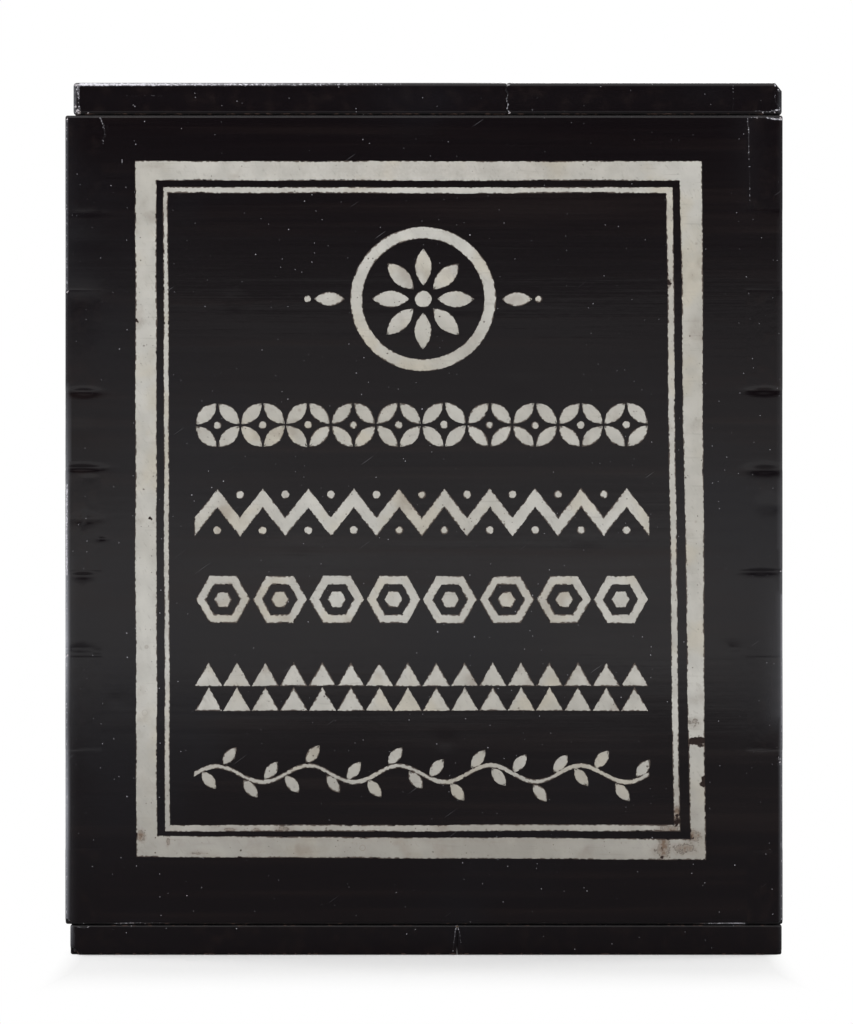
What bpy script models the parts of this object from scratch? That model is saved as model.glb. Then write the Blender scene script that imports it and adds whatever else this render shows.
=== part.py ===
"""A lacquered wooden tea chest: four finger-jointed boards, a plank bottom, a metal liner and a loose lid.

Metres, +Z up. The origin is at the middle of the underside, and the front faces -Y.
"""

import math

import bmesh
import bpy
from mathutils import Matrix, Vector

# Body
BODY_WIDTH = 0.395
BODY_DEPTH = 0.395
WALL_HEIGHT = 0.445
WALL_THICKNESS = 0.020
BODY_ARRIS = 0.0012

# Gap between two pieces that touch
SEAM = 0.0003

# Heights of the finger joint's lines, as shares of the wall height from the bottom up.
# The lowest and the highest finger belong to the side boards.
FINGER_SHARES = (0.094, 0.216, 0.330, 0.438, 0.562, 0.660, 0.784, 0.882)

# Bottom, two planks running from front to back
BOTTOM_THICKNESS = 0.0165
BOTTOM_LEFT_INSET = 0.0027
BOTTOM_RIGHT_INSET = 0.0005
BOTTOM_END_INSET = 0.0008
BOTTOM_JOINT_X = 0.0182
BOTTOM_ARRIS = 0.0018

# Lid, two planks running from front to back
LID_THICKNESS = 0.018
LID_LEFT_INSET = 0.0044
LID_RIGHT_INSET = 0.0004
LID_END_INSET = 0.0010
LID_JOINT_X = 0.0457
LID_ARRIS = 0.0018

# Battens under the lid, which find the mouth of the liner
BATTEN_WIDTH = 0.026
BATTEN_HEIGHT = 0.020
BATTEN_ARRIS = 0.0010
MOUTH_PLAY = 0.0016

# Sheet-metal liner
SHEET_THICKNESS = 0.0007
LINER_CORNER = 0.0030
LINER_DROP = 0.0020
TRAY_RIM = 0.016
LINING_MARGIN = 0.0012

# Square iron nails
NAIL_SHANK = 0.0026
NAIL_TIP = 0.0010
NAIL_HEAD = 0.0056
NAIL_HEAD_HEIGHT = 0.0014
NAIL_SET = 0.0003
CORNER_NAIL_BITE = 0.025
BOTTOM_NAIL_BITE = 0.028
BATTEN_NAIL_BITE = 0.011

# Nail places, as shares of the plank's or batten's length
LEFT_PLANK_NAIL_SHARES = (0.28, 0.85)
RIGHT_PLANK_NAIL_SHARES = (0.16, 0.70)
SIDE_WALL_NAIL_SHARES = (0.28, 0.72)
LONG_BATTEN_NAIL_SHARES = (0.12, 0.50, 0.88)
SHORT_BATTEN_NAIL_SHARES = (0.25, 0.75)

# How far a cutter runs past what it cuts
OVERRUN = 0.002

ARRIS_SEGMENTS = 3
MERGE_DISTANCE = 0.00001

# Least share of a face's normal along an axis for the face to count as facing that way
FACING_SHARE = 0.5
QUARTER_TURN = math.pi / 2

# Heights
WALL_BOTTOM = BOTTOM_THICKNESS + SEAM
WALL_TOP = WALL_BOTTOM + WALL_HEIGHT
LID_BOTTOM = WALL_TOP + SEAM
LINING_TOP = LID_BOTTOM - SEAM
BATTEN_TOP = LINING_TOP - SHEET_THICKNESS - SEAM

# Half sizes of the space between the walls, and of the liner and battens in it
CAVITY_X = BODY_WIDTH / 2 - WALL_THICKNESS
CAVITY_Y = BODY_DEPTH / 2 - WALL_THICKNESS
LINER_X = CAVITY_X - SEAM
LINER_Y = CAVITY_Y - SEAM
TRAY_X = LINER_X - SHEET_THICKNESS - SEAM
TRAY_Y = LINER_Y - SHEET_THICKNESS - SEAM
FRAME_X = LINER_X - SHEET_THICKNESS - MOUTH_PLAY
FRAME_Y = LINER_Y - SHEET_THICKNESS - MOUTH_PLAY

# Where the nails stand across the thickness of the walls
WALL_MIDDLE_X = BODY_WIDTH / 2 - WALL_THICKNESS / 2
WALL_MIDDLE_Y = BODY_DEPTH / 2 - WALL_THICKNESS / 2

LACQUER = ((0.012, 0.012, 0.014), 0.18, 0.0)
BARE_WOOD = ((0.42, 0.26, 0.14), 0.75, 0.0)
SHEET_METAL = ((0.34, 0.34, 0.35), 0.45, 1.0)
IRON = ((0.07, 0.055, 0.05), 0.6, 1.0)


def clear_scene():
    for obj in list(bpy.data.objects):
        bpy.data.objects.remove(obj, do_unlink=True)


def new_collection(name, parent):
    collection = bpy.data.collections.new(name)
    parent.children.link(collection)
    return collection


def give_material(obj, finish):
    """A Principled material of the object's own."""
    colour, roughness, metallic = finish
    material = bpy.data.materials.new(obj.name)
    material.use_nodes = True
    shader = material.node_tree.nodes["Principled BSDF"]
    shader.inputs["Base Color"].default_value = (*colour, 1.0)
    shader.inputs["Roughness"].default_value = roughness
    shader.inputs["Metallic"].default_value = metallic
    obj.data.materials.append(material)


def object_from(name, bm, collection):
    mesh = bpy.data.meshes.new(name)
    bm.to_mesh(mesh)
    bm.free()
    obj = bpy.data.objects.new(name, mesh)
    collection.objects.link(obj)
    return obj


def box(name, low, high, collection):
    """A block between two corners, with its origin at its middle."""
    low, high = Vector(low), Vector(high)
    bm = bmesh.new()
    bmesh.ops.create_cube(bm, size=1)
    bmesh.ops.scale(bm, vec=high - low, verts=bm.verts)
    obj = object_from(name, bm, collection)
    obj.location = (low + high) / 2
    return obj


def add_bevel(obj, width):
    bevel = obj.modifiers.new("arris", "BEVEL")
    bevel.width = width
    bevel.segments = ARRIS_SEGMENTS
    bevel.limit_method = "ANGLE"
    return bevel


def add_boolean(obj, name, operation):
    boolean = obj.modifiers.new(name, "BOOLEAN")
    boolean.operation = operation
    boolean.solver = "EXACT"
    return boolean


def trim_to(obj, envelope):
    """Keep only what lies inside the rounded envelope."""
    add_boolean(obj, "trim", "INTERSECT").object = envelope


def cut_nail_holes(obj, holes):
    boolean = add_boolean(obj, "nail_holes", "DIFFERENCE")
    boolean.operand_type = "COLLECTION"
    boolean.collection = holes


def as_cutter(obj):
    obj.hide_render = True
    obj.display_type = "WIRE"
    return obj


def rounded_envelope(name, low, high, arris, cutters):
    envelope = as_cutter(box(name, low, high, cutters))
    add_bevel(envelope, arris)
    return envelope


def mesh_from_curve(curve_object):
    """The evaluated curve as a mesh object with welded caps. The curve is removed."""
    graph = bpy.context.evaluated_depsgraph_get()
    mesh = bpy.data.meshes.new_from_object(curve_object.evaluated_get(graph))
    bm = bmesh.new()
    bm.from_mesh(mesh)
    bmesh.ops.remove_doubles(bm, verts=bm.verts, dist=MERGE_DISTANCE)
    bm.to_mesh(mesh)
    bm.free()
    name = curve_object.name
    obj = bpy.data.objects.new(name, mesh)
    obj.matrix_world = curve_object.matrix_world.copy()
    for collection in curve_object.users_collection:
        collection.objects.link(obj)
    bpy.data.objects.remove(curve_object, do_unlink=True)
    obj.name = name
    return obj


def finger_outline(length, first_is_long):
    """The board's outline, its fingers made over-long for the envelope to trim."""
    short_end = length / 2 - WALL_THICKNESS - SEAM
    long_end = length / 2 + OVERRUN
    levels = [share * WALL_HEIGHT for share in FINGER_SHARES]
    right_side = []
    low = -OVERRUN
    is_long = first_is_long
    for level in levels:
        end = long_end if is_long else short_end
        high = level - SEAM / 2 if is_long else level + SEAM / 2
        right_side += [(end, low), (end, high)]
        low = high
        is_long = not is_long
    end = long_end if is_long else short_end
    right_side += [(end, low), (end, WALL_HEIGHT + OVERRUN)]
    left_side = [(-x, z) for x, z in reversed(right_side)]
    return right_side + left_side


def wall_board(name, length, first_is_long, turn, outward, middle, parts):
    """A board standing on edge. turn is about Z, and outward points away from the chest."""
    curve = bpy.data.curves.new(name, "CURVE")
    curve.dimensions = "2D"
    curve.fill_mode = "BOTH"
    curve.extrude = (WALL_THICKNESS + OVERRUN) / 2
    outline = finger_outline(length, first_is_long)
    spline = curve.splines.new("POLY")
    spline.points.add(len(outline) - 1)
    for point, (x, y) in zip(spline.points, outline):
        point.co = (x, y, 0, 1)
    spline.use_cyclic_u = True
    board = bpy.data.objects.new(name, curve)
    parts.objects.link(board)
    board.rotation_euler = (QUARTER_TURN, 0, turn)
    inner_face = middle - WALL_THICKNESS / 2
    centre = inner_face + (WALL_THICKNESS + OVERRUN) / 2
    board.location = Vector(outward) * centre + Vector((0, 0, WALL_BOTTOM))
    bpy.context.view_layer.update()
    return mesh_from_curve(board)


def nail_mesh(name, head, head_height, shank, tip, length):
    """A square nail pointing down, with the top of its head at the origin."""
    bm = bmesh.new()
    bmesh.ops.create_cube(bm, size=1)
    bmesh.ops.scale(bm, vec=(head, head, head_height), verts=bm.verts)
    bmesh.ops.translate(bm, vec=(0, 0, -head_height / 2), verts=bm.verts)
    bm.faces.ensure_lookup_table()
    underside = min(bm.faces, key=lambda face: face.calc_center_median().z)
    bmesh.ops.inset_region(bm, faces=[underside], thickness=(head - shank) / 2, use_even_offset=True)
    raised = bmesh.ops.extrude_discrete_faces(bm, faces=[underside])
    end = raised["faces"][0]
    bmesh.ops.translate(bm, vec=(0, 0, head_height - length), verts=end.verts)
    centre = Matrix.Translation(end.calc_center_median())
    taper = tip / shank
    bmesh.ops.scale(bm, vec=(taper, taper, 1), space=centre.inverted(), verts=end.verts)
    mesh = bpy.data.meshes.new(name)
    bm.to_mesh(mesh)
    bm.free()
    return mesh


class NailKind:
    """One length of nail: the mesh of the nail, and the mesh of the hole that it fills."""

    def __init__(self, name, length):
        self.nail = nail_mesh(name, NAIL_HEAD, NAIL_HEAD_HEIGHT, NAIL_SHANK, NAIL_TIP, length)
        self.hole = nail_mesh(
            name + "_hole",
            NAIL_HEAD + 2 * SEAM,
            NAIL_HEAD_HEIGHT + NAIL_SET + OVERRUN + SEAM,
            NAIL_SHANK + 2 * SEAM,
            NAIL_TIP + 2 * SEAM,
            length + NAIL_SET + OVERRUN + SEAM,
        )

    def drive(self, name, surface_point, inward, parts, hole_groups, parent):
        """Set a nail below the surface at this point, and a hole in each group of holes."""
        inward = Vector(inward)
        turn = Vector((0, 0, -1)).rotation_difference(inward).to_euler()
        nail = bpy.data.objects.new(name, self.nail.copy())
        parts.objects.link(nail)
        nail.location = Vector(surface_point) + inward * NAIL_SET
        nail.rotation_euler = turn
        give_material(nail, IRON)
        hang_on(nail, parent)
        hole = bpy.data.objects.new(name + "_hole", self.hole)
        hole.location = Vector(surface_point) - inward * OVERRUN
        hole.rotation_euler = turn
        as_cutter(hole)
        for group in hole_groups:
            group.objects.link(hole)
        return nail


def hang_on(obj, parent):
    """Make the object follow the parent empty and stay where it is."""
    if parent is None:
        return
    obj.parent = parent
    obj.location = obj.location - parent.location


def make_walls(parts, cutters, holes):
    """The four boards, finger-jointed at the corners."""
    envelope = rounded_envelope(
        "wall_envelope",
        (-BODY_WIDTH / 2, -BODY_DEPTH / 2, WALL_BOTTOM),
        (BODY_WIDTH / 2, BODY_DEPTH / 2, WALL_TOP),
        BODY_ARRIS,
        cutters,
    )
    walls = (
        ("front_board", BODY_WIDTH, False, 0, (0, -1, 0), WALL_MIDDLE_Y),
        ("back_board", BODY_WIDTH, False, 0, (0, 1, 0), WALL_MIDDLE_Y),
        ("left_board", BODY_DEPTH, True, QUARTER_TURN, (-1, 0, 0), WALL_MIDDLE_X),
        ("right_board", BODY_DEPTH, True, QUARTER_TURN, (1, 0, 0), WALL_MIDDLE_X),
    )
    for name, length, first_is_long, turn, outward, middle in walls:
        board = wall_board(name, length, first_is_long, turn, outward, middle, parts)
        trim_to(board, envelope)
        cut_nail_holes(board, holes[name])
        give_material(board, LACQUER)


def plank_pair(prefix, joint_x, low, high, envelope, parts, holes, parent):
    """Two planks side by side, trimmed to the rounded envelope."""
    overrun = Vector((OVERRUN, OVERRUN, OVERRUN))
    low, high = Vector(low) - overrun, Vector(high) + overrun
    left_end = Vector((joint_x - SEAM / 2, high.y, high.z))
    right_start = Vector((joint_x + SEAM / 2, low.y, low.z))
    spans = (("left", low, left_end), ("right", right_start, high))
    for side, start, end in spans:
        name = f"{prefix}_plank_{side}"
        plank = box(name, start, end, parts)
        trim_to(plank, envelope)
        cut_nail_holes(plank, holes[name])
        give_material(plank, LACQUER)
        hang_on(plank, parent)


def make_bottom(parts, cutters, holes):
    low = (-BODY_WIDTH / 2 + BOTTOM_LEFT_INSET, -BODY_DEPTH / 2 + BOTTOM_END_INSET, 0)
    high = (BODY_WIDTH / 2 - BOTTOM_RIGHT_INSET, BODY_DEPTH / 2 - BOTTOM_END_INSET, BOTTOM_THICKNESS)
    envelope = rounded_envelope("bottom_envelope", low, high, BOTTOM_ARRIS, cutters)
    plank_pair("bottom", BOTTOM_JOINT_X, low, high, envelope, parts, holes, None)


def open_box(name, half_x, half_y, low_z, high_z, has_floor, parts):
    """A sheet-metal box without a lid, folded from sheet that lies inside the given size."""
    bm = bmesh.new()
    bmesh.ops.create_cube(bm, size=1)
    bmesh.ops.scale(bm, vec=(2 * half_x, 2 * half_y, high_z - low_z), verts=bm.verts)
    open_faces = [face for face in bm.faces if face.normal.z > FACING_SHARE]
    if not has_floor:
        open_faces += [face for face in bm.faces if face.normal.z < -FACING_SHARE]
    bmesh.ops.delete(bm, geom=open_faces, context="FACES")
    obj = object_from(name, bm, parts)
    obj.location = (0, 0, (low_z + high_z) / 2)
    return obj


def fold_sheet(obj, corner):
    add_bevel(obj, corner)
    solidify = obj.modifiers.new("sheet", "SOLIDIFY")
    solidify.thickness = SHEET_THICKNESS
    solidify.offset = -1
    solidify.use_even_offset = True
    give_material(obj, SHEET_METAL)


def make_liner(parts):
    """The wall liner stands on the bottom, and the floor tray's rim laps it inside."""
    low = WALL_BOTTOM
    wall = open_box("liner_wall", LINER_X, LINER_Y, low, WALL_TOP - LINER_DROP, False, parts)
    fold_sheet(wall, LINER_CORNER)
    tray = open_box("liner_floor", TRAY_X, TRAY_Y, low, low + SHEET_THICKNESS + TRAY_RIM, True, parts)
    fold_sheet(tray, LINER_CORNER)


def make_lid(parts, cutters, holes, lid_lift):
    low = (-BODY_WIDTH / 2 + LID_LEFT_INSET, -BODY_DEPTH / 2 + LID_END_INSET, LID_BOTTOM)
    high = (
        BODY_WIDTH / 2 - LID_RIGHT_INSET,
        BODY_DEPTH / 2 - LID_END_INSET,
        LID_BOTTOM + LID_THICKNESS,
    )
    envelope = rounded_envelope("lid_envelope", low, high, LID_ARRIS, cutters)
    plank_pair("lid", LID_JOINT_X, low, high, envelope, parts, holes, lid_lift)
    lining = box(
        "lid_lining",
        (-FRAME_X + LINING_MARGIN, -FRAME_Y + LINING_MARGIN, LINING_TOP - SHEET_THICKNESS),
        (FRAME_X - LINING_MARGIN, FRAME_Y - LINING_MARGIN, LINING_TOP),
        parts,
    )
    cut_nail_holes(lining, holes["lid_lining"])
    give_material(lining, SHEET_METAL)
    hang_on(lining, lid_lift)


def batten_boxes():
    """Name, low corner and high corner of each batten. The side ones fit between the other two."""
    inner_y = FRAME_Y - BATTEN_WIDTH
    short_y = inner_y - SEAM
    low_z, high_z = BATTEN_TOP - BATTEN_HEIGHT, BATTEN_TOP
    inner_x = FRAME_X - BATTEN_WIDTH
    return (
        ("lid_batten_front", (-FRAME_X, -FRAME_Y, low_z), (FRAME_X, -inner_y, high_z)),
        ("lid_batten_back", (-FRAME_X, inner_y, low_z), (FRAME_X, FRAME_Y, high_z)),
        ("lid_batten_left", (-FRAME_X, -short_y, low_z), (-inner_x, short_y, high_z)),
        ("lid_batten_right", (inner_x, -short_y, low_z), (FRAME_X, short_y, high_z)),
    )


def make_battens(parts, holes, lid_lift):
    for name, low, high in batten_boxes():
        batten = box(name, low, high, parts)
        add_bevel(batten, BATTEN_ARRIS)
        cut_nail_holes(batten, holes[name])
        give_material(batten, BARE_WOOD)
        hang_on(batten, lid_lift)


def drive_corner_nails(parts, holes):
    """One nail through each finger of the side boards, into the end of the front or back board."""
    kind = NailKind("corner_nail", WALL_THICKNESS + CORNER_NAIL_BITE)
    edges = (0, *FINGER_SHARES, 1)
    corners = (
        ("left", -1, "front", -1),
        ("left", -1, "back", 1),
        ("right", 1, "front", -1),
        ("right", 1, "back", 1),
    )
    for side, side_x, end, end_y in corners:
        for number, (low, high) in enumerate(zip(edges[0::2], edges[1::2]), 1):
            height = WALL_BOTTOM + WALL_HEIGHT * (low + high) / 2
            kind.drive(
                f"corner_nail_{side}_{end}_{number}",
                (side_x * BODY_WIDTH / 2, end_y * WALL_MIDDLE_Y, height),
                (-side_x, 0, 0),
                parts,
                (holes[f"{side}_board"], holes[f"{end}_board"]),
                None,
            )


def drive_bottom_nails(parts, holes):
    """Nails up through the bottom planks into the lower edges of the walls."""
    kind = NailKind("bottom_nail", BOTTOM_THICKNESS + BOTTOM_NAIL_BITE)
    left_edge = -BODY_WIDTH / 2 + BOTTOM_LEFT_INSET
    right_edge = BODY_WIDTH / 2 - BOTTOM_RIGHT_INSET
    left_span = BOTTOM_JOINT_X - left_edge
    right_span = right_edge - BOTTOM_JOINT_X
    places = []
    for end, end_y in (("front", -1), ("back", 1)):
        y = end_y * WALL_MIDDLE_Y
        places += [("left", end, left_edge + share * left_span, y) for share in LEFT_PLANK_NAIL_SHARES]
        places += [
            ("right", end, BOTTOM_JOINT_X + share * right_span, y)
            for share in RIGHT_PLANK_NAIL_SHARES
        ]
    for side, side_x in (("left", -1), ("right", 1)):
        x = side_x * WALL_MIDDLE_X
        places += [(side, side, x, (share - 1 / 2) * BODY_DEPTH) for share in SIDE_WALL_NAIL_SHARES]
    for number, (side, wall, x, y) in enumerate(places, 1):
        groups = (holes[f"bottom_plank_{side}"], holes[f"{wall}_board"])
        kind.drive(f"bottom_nail_{number}", (x, y, 0), (0, 0, 1), parts, groups, None)


def drive_batten_nails(parts, holes, lid_lift):
    """Nails up through each batten and the lining into the lid planks."""
    through = BATTEN_HEIGHT + SEAM + SHEET_THICKNESS + SEAM
    kind = NailKind("batten_nail", through + BATTEN_NAIL_BITE)
    for name, low, high in batten_boxes():
        low, high = Vector(low), Vector(high)
        size = high - low
        along = Vector((1, 0, 0)) if size.x > size.y else Vector((0, 1, 0))
        shares = LONG_BATTEN_NAIL_SHARES if size.x > size.y else SHORT_BATTEN_NAIL_SHARES
        middle = Vector(((low.x + high.x) / 2, (low.y + high.y) / 2, low.z))
        for number, share in enumerate(shares, 1):
            place = middle + along * (share - 1 / 2) * size.dot(along)
            side = "left" if place.x < LID_JOINT_X else "right"
            groups = (holes[name], holes["lid_lining"], holes[f"lid_plank_{side}"])
            end = name.rsplit("_", 1)[1]
            kind.drive(f"batten_nail_{end}_{number}", place, (0, 0, 1), parts, groups, lid_lift)


def main():
    clear_scene()
    scene = bpy.context.scene.collection
    parts = new_collection("tea_chest", scene)
    cutters = new_collection("cutters", scene)
    drilled = ("front_board", "back_board", "left_board", "right_board")
    drilled += ("bottom_plank_left", "bottom_plank_right", "lid_plank_left", "lid_plank_right")
    drilled += ("lid_lining", "lid_batten_front", "lid_batten_back", "lid_batten_left", "lid_batten_right")
    holes = {name: new_collection(f"{name}_holes", cutters) for name in drilled}
    lid_lift = bpy.data.objects.new("lid_lift", None)
    parts.objects.link(lid_lift)
    lid_lift.location = (0, 0, LID_BOTTOM)
    make_walls(parts, cutters, holes)
    make_bottom(parts, cutters, holes)
    make_liner(parts)
    make_lid(parts, cutters, holes, lid_lift)
    make_battens(parts, holes, lid_lift)
    drive_corner_nails(parts, holes)
    drive_bottom_nails(parts, holes)
    drive_batten_nails(parts, holes, lid_lift)


main()
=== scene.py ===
"""Looks of a lacquered tea chest: the fine surface of its boards, its painted front and its metal lining.

Metres, +Z up. The front faces -Y, and the origin is at the middle of the underside.
"""

import sys
import logging
import math
import random
from collections.abc import Callable, Iterable
from dataclasses import dataclass, field, replace
from enum import Enum
from functools import cached_property, reduce
from itertools import pairwise
from operator import itemgetter

import bmesh
import bpy
from mathutils import Euler, Matrix, Vector, noise
from mathutils.kdtree import KDTree


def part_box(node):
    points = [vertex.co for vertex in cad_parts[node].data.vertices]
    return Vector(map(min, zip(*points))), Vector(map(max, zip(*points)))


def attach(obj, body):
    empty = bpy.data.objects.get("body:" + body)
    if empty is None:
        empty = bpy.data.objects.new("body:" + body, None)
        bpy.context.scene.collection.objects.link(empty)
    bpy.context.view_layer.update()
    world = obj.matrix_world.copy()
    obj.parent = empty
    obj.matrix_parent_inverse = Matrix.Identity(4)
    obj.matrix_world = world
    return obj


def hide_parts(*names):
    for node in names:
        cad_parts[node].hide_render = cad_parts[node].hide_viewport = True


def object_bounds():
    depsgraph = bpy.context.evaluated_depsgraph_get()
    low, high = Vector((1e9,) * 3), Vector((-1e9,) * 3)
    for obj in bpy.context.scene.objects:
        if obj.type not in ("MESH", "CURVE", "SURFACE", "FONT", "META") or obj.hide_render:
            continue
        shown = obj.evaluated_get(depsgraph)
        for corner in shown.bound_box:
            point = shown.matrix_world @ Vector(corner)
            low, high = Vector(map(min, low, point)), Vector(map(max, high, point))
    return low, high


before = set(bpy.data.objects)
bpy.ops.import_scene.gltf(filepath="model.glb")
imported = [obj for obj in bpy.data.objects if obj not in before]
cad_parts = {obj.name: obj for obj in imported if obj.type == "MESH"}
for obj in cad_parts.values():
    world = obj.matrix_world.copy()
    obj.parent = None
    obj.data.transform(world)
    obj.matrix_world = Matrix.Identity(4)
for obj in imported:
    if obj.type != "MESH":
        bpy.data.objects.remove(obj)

CAD_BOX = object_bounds()

WHITE = (1.0, 1.0, 1.0)
SHORT_EDGE = 0.0006
ON_FACE = 0.00002
SUPPORT_ROW = 0.0003
EVEN = {"use_even_offset": True, "use_boundary": True}

Colour = tuple[float, float, float]
Triple = tuple[float, float, float]
Point = tuple[float, float]
Socket = bpy.types.NodeSocket
Number = Socket | float
Tint = Socket | Colour
Material = bpy.types.Material
Mesh = bmesh.types.BMesh

log = logging.getLogger("tea_chest")


class Photo:
    """The photograph's frame, and how its pixels lie on the plane of the chest's front."""

    METRES_PER_PIXEL = 0.00055
    MIDDLE_X = 424.0
    FLOOR_Y = 955.0
    WIDTH = 853
    HEIGHT = 1024

    @classmethod
    def across(cls, pixel_x: float) -> float:
        """The X of a pixel column, in metres."""
        return (pixel_x - cls.MIDDLE_X) * cls.METRES_PER_PIXEL

    @classmethod
    def up(cls, pixel_y: float) -> float:
        """The height of a pixel row, in metres."""
        return (cls.FLOOR_Y - pixel_y) * cls.METRES_PER_PIXEL

    @classmethod
    def length(cls, pixels: float) -> float:
        """A length in pixels, in metres."""
        return pixels * cls.METRES_PER_PIXEL

    @classmethod
    def point(cls, pixel: Point) -> Point:
        """X and height of a pixel, in metres."""
        return cls.across(pixel[0]), cls.up(pixel[1])


def smooth_step(low: float, high: float, value: float) -> float:
    """A share that rises smoothly from 0 at low to 1 at high."""
    share = min(1.0, max(0.0, (value - low) / (high - low)))
    return share * share * (3 - 2 * share)


def ripple(place: Vector, wavelength: float, seed: float) -> float:
    """Smooth noise between about -1 and 1, its crests about a wavelength apart, in metres."""
    return noise.noise(place / wavelength + Vector((seed, seed * 0.37, -seed)))


class Grain(Enum):
    """The axis that a board's grain runs along."""

    ACROSS = 0
    DEEP = 1

    def stretch(self, along: float, against: float) -> Triple:
        """Texture scales per metre: one along the grain, and one on the other two axes."""
        return tuple(along if axis == self.value else against for axis in range(3))


class Graph:
    """A node tree, with a short form for each node that the finishes and the studio use."""

    NOISE_MIDDLE = (0.3, 0.7)
    SOFT_CHOICE = 0.03

    def __init__(self, owner: Material | bpy.types.World, coordinates: str = "Object") -> None:
        """Take over the owner's node tree.

        Args:
            owner: The material or world.
            coordinates: The texture coordinates that its textures read.
        """
        owner.use_nodes = True
        self.owner = owner
        self.nodes = owner.node_tree.nodes
        self.links = owner.node_tree.links
        self.place = self.nodes.new("ShaderNodeTexCoord").outputs[coordinates]

    @classmethod
    def named(cls, name: str) -> "Graph":
        """Start a new material."""
        return cls(bpy.data.materials.new(name))

    def feed(self, socket: Socket, value: Number | Triple) -> None:
        """Link a socket, or set its own value.

        Args:
            socket: The input to fill.
            value: An output to link, a number, or a colour.
        """
        if isinstance(value, bpy.types.NodeSocket):
            self.links.new(value, socket)
        elif socket.type == "RGBA":
            socket.default_value = (*value, 1.0)
        else:
            socket.default_value = value

    def add(self, kind: str, inputs: dict[str | int, Number | Triple], **settings: str) -> bpy.types.Node:
        """Add a shader node.

        Args:
            kind: Blender's name of the node, after "ShaderNode".
            inputs: What each input is fed.
            settings: The node's own settings.

        Returns:
            The node.
        """
        node = self.nodes.new(f"ShaderNode{kind}")
        for name, setting in settings.items():
            setattr(node, name, setting)
        for name, value in inputs.items():
            self.feed(node.inputs[name], value)
        return node

    def noise(self, scale: float, detail: float = 4.0, space: Socket | None = None) -> Socket:
        """Fractal noise from 0 to 1, with so many features per metre, or per unit of another space."""
        inputs = {"Vector": space or self.place, "Scale": scale, "Detail": detail}
        return self.add("TexNoise", inputs).outputs["Fac"]

    def drawn(self, scale: Triple, detail: float, turn: float = 0.0) -> Socket:
        """Noise that is drawn out along an axis.

        Args:
            scale: Features per metre on each axis.
            detail: Number of octaves.
            turn: Turn about Y before the scale, in radians.

        Returns:
            The noise.
        """
        space = self.place
        if turn:
            space = self.add("Mapping", {"Vector": space, "Rotation": (0, turn, 0)}).outputs[0]
        return self.noise(1.0, detail, self.add("Mapping", {"Vector": space, "Scale": scale}).outputs[0])

    def cells(self, scale: float) -> tuple[Socket, Socket]:
        """Scattered points: the distance to the nearest, in cell widths, and a number by chance for each."""
        texture = self.add("TexVoronoi", {"Vector": self.place, "Scale": scale})
        return texture.outputs["Distance"], self.part("Red", texture.outputs["Color"], "Color")

    def specks(self, kinds: tuple[Triple, ...], core: float, uneven: Number = 0.0) -> Socket:
        """Small round specks, on some of the cells only.

        Args:
            kinds: Cells per metre, size of a speck in cell widths, and share of the cells without one.
            core: Size of a speck's solid middle, as a share of the speck's.
            uneven: Breaks the outlines, in cell widths.

        Returns:
            The share of specks.
        """
        found = 0.0
        for scale, size, rarity in kinds:
            distance, lot = self.cells(scale)
            near = self.rise(self.math("ADD", distance, uneven), core * size, size, 1.0, 0.0)
            chosen = self.rise(lot, rarity, rarity + self.SOFT_CHOICE)
            found = self.math("MAXIMUM", found, self.math("MULTIPLY", near, chosen))
        return found

    def attribute(self, name: str) -> Socket:
        """A number that the mesh carries on its points."""
        return self.add("Attribute", {}, attribute_name=name).outputs["Fac"]

    def part(self, name: str, whole: Socket | None = None, kind: str = "XYZ") -> Socket:
        """One axis of the coordinates or another vector, or one channel of a colour."""
        return self.add(f"Separate{kind}", {0: whole or self.place}).outputs[name]

    def math(self, operation: str, first: Number, second: Number = 0.0) -> Socket:
        """One sum of two numbers, by the name of Blender's operation."""
        return self.add("Math", {0: first, 1: second}, operation=operation).outputs[0]

    def rise(self, value: Socket, low: float, high: float, start: float = 0.0, end: float = 1.0) -> Socket:
        """Map a number smoothly: start at low and below, and end at high and above."""
        inputs = {"Value": value, "From Min": low, "From Max": high, "To Min": start, "To Max": end}
        return self.add("MapRange", inputs, interpolation_type="SMOOTHSTEP").outputs["Result"]

    def spread(self, noise: Socket, start: float, end: float) -> Socket:
        """Spread the middle of a noise, where it mostly lies, between two numbers."""
        return self.rise(noise, *self.NOISE_MIDDLE, start, end)

    def blend(self, share: Socket, first: Tint, second: Tint) -> Socket:
        """The first colour where the share is 0 and the second where it is 1."""
        return self.add("Mix", {0: share, 6: first, 7: second}, data_type="RGBA").outputs[2]

    def mean(self, share: Socket, first: Number, second: Number) -> Socket:
        """The first number where the share is 0 and the second where it is 1."""
        return self.add("Mix", {0: share, 2: first, 3: second}).outputs[0]

    def coats(self, colour: Tint, *coats: tuple[Socket, Tint]) -> Socket:
        """A colour under coats, each by its share and its colour, the last on top."""
        return reduce(lambda under, coat: self.blend(coat[0], under, coat[1]), coats, colour)

    def levels(self, number: Number, *levels: tuple[Socket, Number]) -> Socket:
        """A number under others, each by its share and its number, the last on top."""
        return reduce(lambda under, level: self.mean(level[0], under, level[1]), levels, number)

    def staircase(self, value: Socket, start: float, steps: tuple[Triple, ...]) -> Socket:
        """A grey by a number: each smooth step says where it starts and ends, and the grey after it."""
        grey = self.levels(start, *((self.rise(value, low, high), after) for low, high, after in steps))
        return self.add("CombineColor", dict.fromkeys(("Red", "Green", "Blue"), grey)).outputs["Color"]

    def tinted(self, colour: Tint, share: Socket) -> Socket:
        """The colour times a number."""
        return self.add("VectorMath", {0: colour, "Scale": share}, operation="SCALE").outputs[0]

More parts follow.
